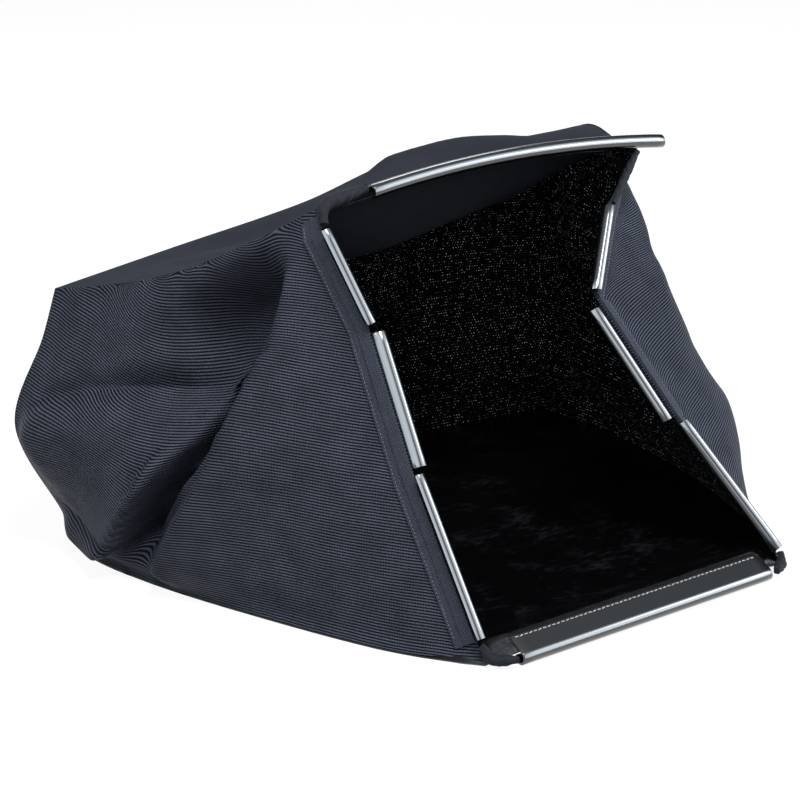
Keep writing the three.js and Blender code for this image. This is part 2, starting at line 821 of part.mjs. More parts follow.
// The corners between the clips' ends: rolls of gathered cloth and tape in front of the edge.
function cornerPieces() {
  const before = (point, radius) => along(point, intoMouth, -(radius + clearance));
  const lastLeft = leftWalk.spans[leftWalk.spans.length - 1].end.point;
  const lastRight = rightWalk.spans[rightWalk.spans.length - 1].end.point;
  const topStart = edges.top.clipStations[0].point;
  const topLeftPath = [
    before(along(lastLeft, upSlope, pastClip), gatherRadius),
    before(along(corners.topLeft.point, upSlope, -underCorner), gatherRadius),
    before(along(topStart, right, -besideTopClip), gatherRadius),
  ];
  const topRightPath = [
    before(along(along(lastRight, upSlope, strapRadius), right, strapBesideClip), strapRadius),
    before(mix(lastRight, corners.topRight.point, strapShare), strapRadius),
    before(along(corners.topRight.point, upSlope, -strapUnderCorner), strapRadius),
  ];
  const foot = (corner) => before(along(corner.point, up, bindingRadius), bindingRadius);
  const underClip = (walk) => before(along(walk.spans[0].start.point, upSlope, -pastClip), bindingRadius);
  const bottomLeftPath = [
    underClip(leftWalk),
    foot(corners.bottomLeft).add(leftBindingTurn),
    edges.bottom.start.point.clone().add(leftBindingEnd),
  ];
  const bottomRightPath = [
    underClip(rightWalk),
    foot(corners.bottomRight).add(rightBindingTurn),
    edges.bottom.end.point.clone().add(rightBindingEnd),
  ];
  const gather = gatheredRoll(topLeftPath, gatherRadius, gatherRibs, gatherRibDepth);
  const strap = gatheredRoll(topRightPath, strapRadius, bindingRibs, bindingRibDepth);
  const leftBinding = gatheredRoll(bottomLeftPath, bindingRadius, bindingRibs, bindingRibDepth);
  const rightBinding = gatheredRoll(bottomRightPath, bindingRadius, bindingRibs, bindingRibDepth);
  return [
    piece('top_left_corner_gather', gather, finishes.tape),
    piece('top_right_corner_strap', strap, finishes.tape),
    piece('bottom_left_corner_binding', leftBinding, finishes.tape),
    piece('bottom_right_corner_binding', rightBinding, finishes.tape),
  ];
}

// The bag stands on the floor with its middle over the origin.
const bag = new THREE.Group();
bag.add(...panelPieces(), ...hemPieces(), ...clipPieces(), ...cornerPieces());
const box = new THREE.Box3().setFromObject(bag);
const middle = box.getCenter(vector(0, 0, 0));
bag.position.set(-middle.x, -middle.y, -box.min.z);
bag.updateMatrixWorld(true);

export default bag;
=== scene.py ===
"""Grass bag for a walk-behind mower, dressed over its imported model.

The cloth follows the same pattern as the part's source, drawn on a finer grid with its folds,
puckers and weave. The pattern is in millimetres, and the meshes are in metres.
"""
import logging
import math
from dataclasses import dataclass, field
from enum import Enum

import bpy
import numpy as np
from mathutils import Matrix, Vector


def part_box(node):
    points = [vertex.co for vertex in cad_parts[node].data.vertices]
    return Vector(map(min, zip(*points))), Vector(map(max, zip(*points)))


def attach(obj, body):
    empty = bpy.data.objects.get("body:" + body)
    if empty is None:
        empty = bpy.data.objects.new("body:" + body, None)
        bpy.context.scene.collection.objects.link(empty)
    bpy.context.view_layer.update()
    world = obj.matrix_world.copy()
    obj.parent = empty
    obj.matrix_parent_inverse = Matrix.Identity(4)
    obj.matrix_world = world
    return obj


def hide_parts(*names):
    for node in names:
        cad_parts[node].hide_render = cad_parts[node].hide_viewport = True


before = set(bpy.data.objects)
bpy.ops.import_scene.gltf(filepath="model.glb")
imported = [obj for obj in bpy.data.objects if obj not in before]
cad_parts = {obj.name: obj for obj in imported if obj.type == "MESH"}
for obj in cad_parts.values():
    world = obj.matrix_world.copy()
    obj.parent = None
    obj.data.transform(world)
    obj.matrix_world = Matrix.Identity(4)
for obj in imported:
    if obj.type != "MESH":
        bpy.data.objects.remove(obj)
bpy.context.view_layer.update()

LOG = logging.getLogger("grass_bag")

Array = np.ndarray
Faces = list[tuple[int, ...]]
Piece = bpy.types.Object
Socket = bpy.types.NodeSocket

MM = 0.001
ROOT_BODY = "root"
WEAVE_MAP = "weave"
WEAVE_UNIT_MM = 100.0

# Factors that scatter a cell's numbers and its seed into a fixed value
NOISE_HASH = (127.1, 311.7, 74.7, 43758.5453)

RIGHT = np.array([1.0, 0.0, 0.0])
UP = np.array([0.0, 0.0, 1.0])


# Vectors and curves

def unit(vector: Array) -> Array:
    """Scales vectors, which lie in an array's last axis, to length one."""
    length = np.linalg.norm(vector, axis=-1, keepdims=True)
    return vector / np.maximum(length, 1e-12)


def mixed(low: Array, high: Array, share: float | Array) -> Array:
    """Goes a share of the way from one value to another."""
    return low + (high - low) * share


def smooth_step(share: float | Array) -> Array:
    """Eases a share in and out, held between 0 and 1."""
    inside = np.clip(share, 0.0, 1.0)
    return inside * inside * (3.0 - 2.0 * inside)


def point(x: float, y: float, z: float) -> Array:
    """Returns a point or direction as an array."""
    return np.array([x, y, z], dtype=float)


def walked(line: Array) -> Array:
    """Returns how far along a line each of its points is."""
    return np.concatenate([[0.0], np.cumsum(np.linalg.norm(np.diff(line, axis=0), axis=1))])


def read_at(at: Array, places: Array, values: Array) -> Array:
    """Reads points or directions, known at some places of a line, at other places."""
    return np.stack([np.interp(at, places, values[:, k]) for k in range(3)], axis=-1)


def soft_noise(across: Array, along: Array, seed: int) -> Array:
    """Smooth noise on a grid of cells of size one.

    Args:
        across: First coordinate, in cells.
        along: Second coordinate, in cells.
        seed: Which noise.

    Returns:
        Values from -1 to 1.
    """
    def lattice(x: Array, y: Array) -> Array:
        """Scatters cell corners into fixed values.

        Args:
            x: Their first numbers.
            y: Their second numbers.

        Returns:
            Values from 0 to 1.
        """
        by_x, by_y, by_seed, spread = NOISE_HASH
        wave = np.sin(x * by_x + y * by_y + seed * by_seed) * spread
        return wave - np.floor(wave)

    x0, y0 = np.floor(across), np.floor(along)
    sx, sy = smooth_step(across - x0), smooth_step(along - y0)
    low = mixed(lattice(x0, y0), lattice(x0 + 1, y0), sx)
    high = mixed(lattice(x0, y0 + 1), lattice(x0 + 1, y0 + 1), sx)
    return 2.0 * mixed(low, high, sy) - 1.0


class SeamCurve:
    """A centripetal curve through points, read by its own length."""

    SAMPLES = 48

    def __init__(self, points: list[Array]) -> None:
        """Samples the curve that passes through some points.

        Args:
            points: The points.
        """
        chain = [2 * points[0] - points[1], *points, 2 * points[-1] - points[-2]]
        samples = []
        for k in range(len(points) - 1):
            samples.extend(self._piece(*chain[k:k + 4])[:-1])
        samples.append(points[-1])
        self.points = np.array(samples)
        self.walked = walked(self.points)
        self.length = float(self.walked[-1])

    def _piece(self, a: Array, b: Array, c: Array, d: Array) -> Array:
        """Samples one stretch.

        Args:
            a: The point before it.
            b: Its first point.
            c: Its last point.
            d: The point after it.

        Returns:
            Points from b to c.
        """
        t0, t1, t2 = (math.sqrt(float(np.linalg.norm(q - p))) for p, q in ((a, b), (b, c), (c, d)))
        leave = ((b - a) / t0 - (c - a) / (t0 + t1) + (c - b) / t1) * t1
        arrive = ((c - b) / t1 - (d - b) / (t1 + t2) + (d - c) / t2) * t1
        t = np.linspace(0, 1, self.SAMPLES + 1)[:, None]
        cubic = 2 * b - 2 * c + leave + arrive
        square = -3 * b + 3 * c - 2 * leave - arrive
        return b + leave * t + square * t ** 2 + cubic * t ** 3

    def at(self, share: float | Array) -> Array:
        """Returns the point or points at a share, or shares, of the curve's length."""
        return read_at(np.asarray(share) * self.length, self.walked, self.points)


# The pattern of the bag

class Curl(Enum):
    """Which way a clip's hook rolls, seen from the bag's outside."""

    OUTWARD = 1
    INWARD = -1


@dataclass(frozen=True)
class Station:
    """A place on the mouth's edge, with the way the cloth runs back and the way out of the bag."""

    point: Array
    run: Array
    out: Array

    @staticmethod
    def flared(place: Array, into_mouth: Array, out_of_mouth: Array, flare: float) -> "Station":
        """Makes a station whose cloth flares out from the mouth.

        Args:
            place: The point on the edge.
            into_mouth: The mouth's own direction into the bag.
            out_of_mouth: The direction out of the mouth's rim.
            flare: Degrees that the cloth leaves the mouth's direction by.

        Returns:
            The station.
        """
        turn = math.radians(flare)
        run = into_mouth * math.cos(turn) + out_of_mouth * math.sin(turn)
        out = out_of_mouth * math.cos(turn) - into_mouth * math.sin(turn)
        return Station(place, run, out)

    @staticmethod
    def corner(place: Array, run: Array) -> "Station":
        """Returns a station at a corner of the mouth."""
        return Station(place, unit(run), np.zeros(3))


@dataclass(frozen=True)
class ClipPlace:
    """A side clip's place on its edge of the mouth, in millimetres and degrees."""

    name: str
    length: float
    lean: float
    flare: float
    cells: int
    curl: Curl
    skew: float = 0.0
    gap: float = 7.0


@dataclass(frozen=True)
class MouthSide:
    """One side of the mouth, from its foot to its top."""

    sign: int
    foot_x: float
    foot_rise: float
    top_rise: float
    top_shift: float
    clips: tuple[ClipPlace, ...]


@dataclass(frozen=True)
class BagSizes:
    """Sizes of the bag, in millimetres and degrees."""

    mouth_width: float = 350.0
    mouth_lean: float = 32.5
    foot_lead: float = 14.0
    top_bow: float = 14.0
    top_overhang: float = 18.0
    top_flare: float = -4.0
    length: float = 474.0
    left_spread: float = 120.0
    right_spread: float = 122.0
    rear_height_left: float = 241.0
    rear_height_right: float = 300.0
    rear_right_lead: float = 4.0
    rear_left_lean: float = 6.0
    rear_right_draw: float = 18.0
    cloth: float = 1.4
    vinyl: float = 1.6
    hem: float = 1.2
    hem_width: float = 20.0
    tape: float = 1.0
    gap: float = 0.3
    top_clip: float = 345.0
    bottom_clip: float = 296.0
    clip_wall: float = 2.0
    clip_flange: float = 15.0
    clip_neck: float = 4.0
    channel: float = 9.0
    side_turn: float = 170.0
    top_turn: float = 205.0
    bottom_turn: float = 250.0
    bottom_tilt: float = 27.0
    settle: float = 60.0


LEFT_SIDE = MouthSide(-1, -175.0, 22.0, 22.0, 6.0, (
    ClipPlace("lower", 148.0, -1.5, 30.0, 6, Curl.OUTWARD),
    ClipPlace("middle", 122.0, 3.0, 27.0, 5, Curl.INWARD),
    ClipPlace("upper", 90.0, -8.0, 24.0, 4, Curl.OUTWARD),
))
RIGHT_SIDE = MouthSide(1, 180.0, 16.0, 60.0, 72.0, (
    ClipPlace("lower", 148.0, -22.0, 53.0, 6, Curl.OUTWARD, skew=4.0),
    ClipPlace("middle", 122.0, -17.5, 60.0, 5, Curl.INWARD, skew=8.0, gap=13.0),
    ClipPlace("upper", 90.0, 34.0, 56.0, 4, Curl.OUTWARD, skew=-10.0),
))


@dataclass(frozen=True)
class Fold:
    """A fold line on a panel, in shares of its length and height.

    It lifts the cloth out of the bag by height, or sinks it in, over a width on each side, and
    slides its crest sideways so that it hangs over.
    """

    path: tuple[tuple[float, float], ...]
    width: float
    height: float
    soft: float = 1.5
    other_width: float | None = None
    slide: float = 0.0

    SCALE = (470.0, 380.0)
    LINE_STEPS = 25

    def reach(self, u: Array, v: Array) -> tuple[Array, Array, Array]:
        """Measures from the fold line.

        Args:
            u: Shares of the panel's length.
            v: Shares of its height.

        Returns:
            The distance in millimetres, the side, and the direction across the line.
        """
        place = np.stack([u * self.SCALE[0], v * self.SCALE[1]], axis=-1)
        bends = [point(*(np.array(at) * self.SCALE), 0) for at in self.path]
        line = SeamCurve(bends).at(np.linspace(0, 1, self.LINE_STEPS))[:, :2]
        nearest = np.full(u.shape, np.inf)
        side = np.ones(u.shape)
        across = np.zeros(u.shape + (2,))
        for a, b in zip(line, line[1:]):
            step = b - a
            share = np.clip(((place - a) @ step) / (step @ step), 0.0, 1.0)
            away = place - (a + share[..., None] * step)
            distance = np.linalg.norm(away, axis=-1)
            closer = distance < nearest
            nearest = np.where(closer, distance, nearest)
            normal = unit(np.array([-step[1], step[0]]))
            side = np.where(closer, np.sign(away @ normal), side)
            across = np.where(closer[..., None], normal, across)
        return nearest, side, across

    def shift(self, u: Array, v: Array) -> tuple[Array, Array]:
        """Works out the fold's push at each place.

        Args:
            u: Shares of the panel's length.
            v: Shares of its height.

        Returns:
            The lift out of the bag, and the slide along length and height, in millimetres.
        """
        distance, side, across = self.reach(u, v)
        width = np.where(side > 0, self.width, self.other_width or self.width)
        form = np.exp(-np.power(distance / width, self.soft))
        return self.height * form, across * (self.slide * form)[..., None]


PANEL_FOLDS: dict[str, tuple[Fold, ...]] = {
    "left": (
        Fold(((0.0, 0.97), (0.09, 0.85), (0.19, 0.71), (0.3, 0.56), (0.38, 0.44), (0.46, 0.32), (0.54, 0.2),
              (0.6, 0.08)), 14, 34, 1.5, other_width=66, slide=4),
        Fold(((0.2, 0.92), (0.33, 0.81), (0.43, 0.69), (0.5, 0.58)), 66, -64, 1.8, other_width=44),
        Fold(((0.44, 0.68), (0.66, 0.67), (0.9, 0.62)), 18, -15),
        Fold(((0.56, 0.56), (0.78, 0.52), (0.96, 0.46)), 44, 22),
        Fold(((0.44, 0.61), (0.47, 0.56), (0.52, 0.49), (0.57, 0.42), (0.65, 0.3), (0.74, 0.14)),
             36, 42, 1.3, other_width=11, slide=-14),
        Fold(((0.41, 0.61), (0.47, 0.49), (0.535, 0.39), (0.61, 0.27), (0.69, 0.14)), 14, -44, 1.8),
        Fold(((0.4, 0.53), (0.46, 0.43), (0.56, 0.3), (0.64, 0.17)), 7, 15, 1.3),
        Fold(((0.6, 0.06), (0.8, 0.08), (0.99, 0.09)), 12, 16),
        Fold(((0.64, 0.18), (0.8, 0.17), (0.98, 0.17)), 9, -10),
        Fold(((0.0, 0.3), (0.2, 0.22), (0.42, 0.1)), 30, 4),
        Fold(((0.02, 0.6), (0.2, 0.42), (0.3, 0.2)), 22, -3),
    ),
    "right": (
        Fold(((0.22, 0.27), (0.17, 0.48), (0.16, 0.74)), 62, 37, 2),
        Fold(((0.14, 0.62), (0.27, 0.6)), 50, 13, 2),
        Fold(((0.3, 0.2), (0.5, 0.3)), 50, 14),
        Fold(((0.46, 0.78), (0.6, 0.6), (0.64, 0.4)), 34, -16),
        Fold(((0.6, 0.3), (0.95, 0.45)), 70, 10),
        Fold(((0.6, 0.1), (0.85, 0.2)), 22, -14),
        Fold(((0.52, 0.45), (0.66, 0.3), (0.8, 0.32)), 15, 6, 1.3),
        Fold(((0.6, 0.86), (0.74, 0.72), (0.92, 0.68)), 16, -7, 1.3),
    ),
    "top": (
        Fold(((0.28, 0.3), (0.3, 0.68)), 100, -46, 2),
        Fold(((0.5, 0.25), (0.85, 0.35)), 60, -14),
        Fold(((0.5, 0.8), (0.85, 0.66)), 34, 16),
        Fold(((0.3, 0.12), (0.75, 0.2)), 24, 7),
        Fold(((0.55, 0.5), (0.8, 0.52)), 18, 5, 1.3),
    ),
    "rear": (
        Fold(((0.2, 0.5), (0.8, 0.5)), 120, 18, 2),
        Fold(((0.3, 0.9), (0.45, 0.35)), 28, -20),
        Fold(((0.7, 0.85), (0.55, 0.3)), 26, -14),
        Fold(((0.15, 0.25), (0.4, 0.15)), 30, 10),
        Fold(((0.5, 0.8), (0.42, 0.45)), 12, 7, 1.3),
        Fold(((0.85, 0.7), (0.7, 0.4), (0.72, 0.15)), 15, 6, 1.3),
    ),
    "bottom": (),
}


@dataclass
class Sheet:
    """A panel's surface, row by row: its points, shares, weave coordinates and outward normals."""

    points: Array
    u: Array
    v: Array
    weave: Array
    normals: Array = field(default_factory=lambda: np.zeros(0))


def grid_directions(points: Array) -> tuple[Array, Array, Array]:
    """Returns the unit vectors along a grid's rows, up them, and square to both."""
    along, up = np.gradient(points, axis=1), np.gradient(points, axis=0)
    return unit(along), unit(up), unit(np.cross(up, along))


def softened(values: Array, passes: int, rim: bool = False) -> Array:
    """Softens a grid of values.

    Args:
        values: The grid.
        passes: How many times to soften.
        rim: Whether its rim is softened too, or stays as it is.

    Returns:
        The softened grid.
    """
    edge = ((1, 1), (1, 1)) + ((0, 0),) * (values.ndim - 2)
    soft = np.pad(values, edge, mode="edge") if rim else values.copy()
    for _ in range(passes):
        around = soft[:-2, 1:-1] + soft[2:, 1:-1] + soft[1:-1, :-2] + soft[1:-1, 2:]
        soft[1:-1, 1:-1] = 0.5 * soft[1:-1, 1:-1] + 0.125 * around
        if rim:
            soft[0], soft[-1] = soft[1], soft[-2]
            soft[:, 0], soft[:, -1] = soft[:, 1], soft[:, -2]
    return soft[1:-1, 1:-1] if rim else soft


@dataclass(frozen=True)
class Wave:
    """A soft wave in hanging cloth, in millimetres: its height, its cells and their slant."""

    height: float
    length: float
    width: float
    slant: float = math.inf


class BagPattern:
    """The bag's mouth, seams and panels, in millimetres."""

    ROW_FINENESS = 6
    BODY_COLUMNS = 110
    HEM_COLUMNS = 6
    CORNER_CELLS = 2
    SIDE_TOP_CELLS = 3
    BOTTOM_CELLS = 11
    BOW_CELLS = 13
    FOOT_RUN = (0.6, 0.8, 0.0)
    TOP_LEFT_RUN = (-0.4, 0.78, -0.48)
    SEAM_HOLD = 0.13
    FOLD_PASSES = 2
    CALM_PASSES = 600
    EVEN_REACH = 0.16
    EVEN_END = 0.25
    EVEN_PASSES = 160
    WEAVE_PASSES = 120
    WEAVE_FOLLOW = 0.4
    RIB_HEIGHT = 350.0
    WAVES = (Wave(2.2, 95, 42), Wave(1.0, 38, 26, slant=60), Wave(0.35, 17, 14))
    VINYL_WAVE = Wave(0.25, 70, 50)
    WAVE_FADE = 45.0
    WAVE_FADE_MOUTH = 60.0
    PUCKER_HEIGHT = 0.7
    PUCKER_LENGTH = 9.0
    PUCKER_PLACE = 6.0
    PUCKER_WIDTH = 5.0
    PUCKER_FADE = 12.0
    PUCKER_SHIFT = 5.0

    def __init__(self, sizes: BagSizes) -> None:
        """Works out the whole pattern.

        Args:
            sizes: The bag's sizes.
        """
        self.sizes = sizes
        lean = math.radians(sizes.mouth_lean)
        self.up_slope = point(0, math.sin(lean), math.cos(lean))
        self.into_mouth = point(0, math.cos(lean), -math.sin(lean))
        self.middle = point(0, sizes.length / 2, sizes.rear_height_left / 2)
        self.clips: dict[str, tuple[ClipPlace, Station, Station]] = {}
        edges = {"left": self._side_edge("left", LEFT_SIDE), "right": self._side_edge("right", RIGHT_SIDE)}
        edges["bottom"] = self._bottom_edge()
        edges["top"] = self._top_edge()
        self.edges = {name: self._edge_rows(*edge) for name, edge in edges.items()}
        self._lay_seams()
        self.panels = {
            "left": self._length_panel("left", "bottom_left", "top_left"),
            "right": self._length_panel("right", "bottom_right", "top_right"),
            "bottom": self._length_panel("bottom", "bottom_left", "bottom_right"),
            "top": self._length_panel("top", "top_left", "top_right"),
            "rear": self._rear_panel(),
        }

    def _side_edge(self, name: str, side: MouthSide) -> tuple[list[Station], list[int]]:
        """Walks up one side of the mouth, clip by clip.

        Args:
            name: left or right.
            side: The side's clips.

        Returns:
            Its stations and the cells between them.
        """
        foot = point(side.foot_x, 0, 0)
        place = foot + self.up_slope * side.foot_rise
        stations: list[Station] = []
        cells = [1]
        for clip in side.clips:
            turn = math.radians(clip.lean)
            axis = self.up_slope * math.cos(turn) + RIGHT * math.sin(turn)
            square = turn + math.radians(clip.skew)
            outward = (RIGHT * math.cos(square) - self.up_slope * math.sin(square)) * side.sign
            end = place + axis * clip.length
            ends = [Station.flared(at, self.into_mouth, outward, clip.flare) for at in (place, end)]
            self.clips[f"{name}_{clip.name}_clip"] = (clip, *ends)
            stations += ends
            cells += [clip.cells, 1]
            place = end + axis * clip.gap
        cells[-1] = self.SIDE_TOP_CELLS
        top = stations[-1].point + self.up_slope * side.top_rise + RIGHT * side.top_shift
        if side.sign < 0:
            self.bottom_left = Station.corner(foot, point(*self.FOOT_RUN) * (-1, 1, 1))
            self.top_left = Station.corner(top, point(*self.TOP_LEFT_RUN))
            return [self.bottom_left, *stations, self.top_left], cells
        self.bottom_right = Station.corner(foot, point(*self.FOOT_RUN))
        flared = Station.flared(top, self.into_mouth, self.up_slope, self.sizes.top_flare)
        self.top_right = Station.corner(top, flared.run)
        return [self.bottom_right, *stations, self.top_right], cells

    def _bottom_edge(self) -> tuple[list[Station], list[int]]:
        """Lays the vinyl's front edge at the height that the clip's hook gives it.

        Returns:
            Its stations and the cells between them.
        """
        s = self.sizes
        tilt = math.radians(s.bottom_tilt)
        hook_middle = s.channel / 2 + s.clip_wall / 2 - (s.vinyl + s.gap + s.clip_wall / 2)
        hook_radius = s.channel / 2 + s.clip_wall
        height = s.clip_neck * math.sin(tilt) + hook_middle * math.cos(tilt) + hook_radius
        middle = (self.bottom_left.point[0] + self.bottom_right.point[0]) / 2 - s.foot_lead / 3
        flare = -(s.mouth_lean + s.bottom_tilt)
        self.bottom_clip = [
            Station.flared(point(middle + end * s.bottom_clip / 2, -s.foot_lead, height),
                           self.into_mouth, -self.up_slope, flare)
            for end in (-1, 1)
        ]
        cells = [self.CORNER_CELLS, self.BOTTOM_CELLS, self.CORNER_CELLS]
        return [self.bottom_left, *self.bottom_clip, self.bottom_right], cells

    def _top_edge(self) -> tuple[list[Station], list[int]]:
        """Lays the bowed top edge, and the top clip that overhangs its right corner.

        Returns:
            Its stations and the cells between them.
        """
        s = self.sizes
        start, end = self.top_left.point, self.top_right.point
        span = float(end[0] - start[0])

        def bowed(share: float) -> Station:
            """Lays one station on the bow.

            Args:
                share: Its share of the bow's span.

            Returns:
                The station.
            """
            rise = s.top_bow * 4 * share * (1 - share)
            place = mixed(start, end, share) + self.up_slope * rise
            return Station.flared(place, self.into_mouth, self.up_slope, s.top_flare)

        first = 1 - (s.top_clip - s.top_overhang) / span
        stations = [bowed(first + (1 - first) * k / self.BOW_CELLS) for k in range(self.BOW_CELLS + 1)]
        self.top_clip = [*stations, bowed(1 + s.top_overhang / span)]
        return [self.top_left, *stations], [self.CORNER_CELLS] + [1] * self.BOW_CELLS

    def _edge_rows(self, stations: list[Station], cells: list[int]) -> dict[str, Array]:
        """Spreads a panel's rows along its mouth edge.

        Args:
            stations: The edge's stations.
            cells: The cells between them in the part's source.

        Returns:
            Each row's point, run and share of the edge.
        """
        points, runs, places = [], [], []
        so_far = 0.0
        for a, b, count in zip(stations, stations[1:], cells):
            length = float(np.linalg.norm(b.point - a.point))
            for step in range(count * self.ROW_FINENESS):
                share = step / (count * self.ROW_FINENESS)
                points.append(mixed(a.point, b.point, share))
                runs.append(unit(mixed(a.run, b.run, share)))
                places.append(so_far + share * length)
            so_far += length
        points.append(stations[-1].point)
        runs.append(stations[-1].run)
        places.append(so_far)
        return {"point": np.array(points), "run": np.array(runs), "share": np.array(places) / so_far}

    def _lay_seams(self) -> None:
        """Lays the four seams from the mouth to the rear, and the four edges of the rear.

        Each bend of a seam is a share of it, and a push along X, Y and Z.
        """
        s = self.sizes
        left_x = -s.mouth_width / 2 - s.left_spread
        right_x = s.mouth_width / 2 + s.right_spread
        right_y = s.length - s.rear_right_lead
        rear = {
            "bottom_left": point(left_x, s.length, 0),
            "bottom_right": point(right_x, right_y, 0),
            "top_left": point(left_x, s.length + s.rear_left_lean, s.rear_height_left),
            "top_right": point(right_x - s.rear_right_draw, right_y, s.rear_height_right),
        }
        bends = {
            "top_left": ((0.16, -6, 0, -10), (0.5, -3, 0, -18), (0.8, -4, 0, -10)),
            "top_right": ((0.15, 4, 0, 6), (0.45, 8, 0, 20), (0.75, 6, 0, 8)),
            "bottom_left": ((0.12, -20, 0, 0), (0.38, -36, 0, 0), (0.68, -42, 0, 0), (0.86, -32, 4, 0)),
            "bottom_right": ((0.15, 22, 0, 0), (0.45, 38, 0, 0), (0.75, 30, 0, 0)),
        }
        rear_bends = {
            "left": ("bottom_left", "top_left", ((0.08, -4, 4, 0), (0.5, -50, 2, 0), (0.82, -16, 0, 0))),
            "right": ("bottom_right", "top_right", ((0.1, 8, 4, 0), (0.45, 34, 6, 0), (0.8, 14, 2, 0))),
            "bottom": ("bottom_left", "bottom_right", ((0.25, 0, 16, 0), (0.7, 0, 20, 0))),
            "top": ("top_left", "top_right", ((0.25, 0, 22, -4), (0.5, 0, 14, 4), (0.75, 0, 26, 14))),
        }
        self.seams: dict[str, SeamCurve] = {}
        for name, pushes in bends.items():
            corner: Station = getattr(self, name)
            self.seams[name] = self._bent(corner.point + corner.run * s.hem_width, rear[name], pushes)
        self.rear_edges = {name: self._bent(rear[low], rear[high], pushes)
                           for name, (low, high, pushes) in rear_bends.items()}

    @staticmethod
    def _bent(start: Array, end: Array, pushes: tuple[tuple[float, ...], ...]) -> SeamCurve:
        """Bends a seam off its straight line by its pushes."""
        bent = [mixed(start, end, at) + point(*push) for at, *push in pushes]
        return SeamCurve([start, *bent, end])

    @staticmethod
    def _coons(u: Array, v: Array, near: Array, far: Array, low: Array, high: Array) -> Array:
        """Fills a patch between its four edges.

        Args:
            u: Shares from near to far.
            v: Shares from low to high.
            near: The near edge's points, by row.
            far: The far edge's points, by row.
            low: The low edge's points, by column.
            high: The high edge's points, by column.

        Returns:
            The patch's points.
        """
        u, v = u[..., None], v[..., None]
        patch = near[:, None] * (1 - u) + far[:, None] * u + low[None] * (1 - v) + high[None] * v
        patch -= (1 - u) * (1 - v) * low[0] + u * (1 - v) * low[-1]
        patch -= (1 - u) * v * high[0] + u * v * high[-1]
        return patch

    def _length_panel(self, name: str, low_name: str, high_name: str) -> Sheet:
        """Makes a panel that runs from the mouth to the rear.

        Args:
            name: The panel, and its edge of the mouth and of the rear.
            low_name: Its lower seam.
            high_name: Its upper seam.

        Returns:
            The panel, folded.
        """
        edge = self.edges[name]
        count = len(edge["share"])
        even = np.linspace(0, 1, count)
        body = np.linspace(0, 1, self.BODY_COLUMNS + 1)
        u, _ = np.meshgrid(body, even)
        v = mixed(edge["share"][:, None], even[:, None], u)
        hem_end = edge["point"] + edge["run"] * self.sizes.hem_width
        patch = self._coons(u, v, hem_end, self.rear_edges[name].at(even),
                            self.seams[low_name].at(body), self.seams[high_name].at(body))
        if name == "bottom":
            patch = self._settled(patch)
        if name == "right":
            patch = self._evened(patch, u)
        reach = (np.arange(self.HEM_COLUMNS) / self.HEM_COLUMNS * self.sizes.hem_width)[None, :, None]
        hem = edge["point"][:, None] + edge["run"][:, None] * reach
        points = np.concatenate([hem, patch], axis=1)
        hem_v = np.repeat(edge["share"][:, None], self.HEM_COLUMNS, axis=1)
        full_u = np.concatenate([np.zeros_like(hem_v), u], axis=1)
        full_v = np.concatenate([hem_v, v], axis=1)
        return self._folded(name, Sheet(points, full_u, full_v, self._weave(points)))

    def _evened(self, patch: Array, u: Array) -> Array:
        """Lets the cloth bridge the bends of the mouth's edge.

        Args:
            patch: The panel's points behind its hem.
            u: Shares of the panel's length.

        Returns:
            The evened points.
        """
        weight = smooth_step(u / self.EVEN_REACH) * (1 - smooth_step((u - self.EVEN_END) / self.EVEN_END))
        hold = 0.5 * weight[1:-1, :, None]
        evened = patch.copy()
        for _ in range(self.EVEN_PASSES):
            between = (evened[:-2] + evened[2:]) / 2
            evened[1:-1] = evened[1:-1] * (1 - hold) + between * hold
        return evened

    def _settled(self, patch: Array) -> Array:
        """Lets the vinyl come off the clip and lie on the floor.

        Args:
            patch: The vinyl's points behind its hem.

        Returns:
            The settled points.
        """
        gone = smooth_step(np.linalg.norm(patch - patch[:, :1], axis=-1) / self.sizes.settle)
        settled = patch.copy()
        settled[..., 2] = np.where(gone > 0, patch[:, :1, 2] * (1 - gone), patch[..., 2])
        return settled

    def _rear_panel(self) -> Sheet:
        """Makes the rear panel.

        Returns:
            The panel, folded.
        """
        upward = np.linspace(0, 1, len(self.edges["left"]["share"]))
        across = np.linspace(0, 1, len(self.edges["bottom"]["share"]))
        u, v = np.meshgrid(across, upward)
        points = self._coons(
            u, v, self.rear_edges["left"].at(upward), self.rear_edges["right"].at(upward),
            self.rear_edges["bottom"].at(across), self.rear_edges["top"].at(across))
        return self._folded("rear", Sheet(points, u, v, self._weave(points)))

    @staticmethod
    def _weave(points: Array) -> Array:
        """Lays the cloth's own coordinates: along the ribs, and across them.

        Args:
            points: Rows of points.

        Returns:
            Two millimetre coordinates for each point, walked along its row and up its column.
        """
        along = np.linalg.norm(np.diff(points, axis=1), axis=-1)
        up = np.linalg.norm(np.diff(points, axis=0), axis=-1)
        by_row = np.pad(np.cumsum(along, axis=1), ((0, 0), (1, 0)))
        by_column = np.pad(np.cumsum(up, axis=0), ((1, 0), (0, 0)))
        return np.stack([by_row, by_column], axis=-1)

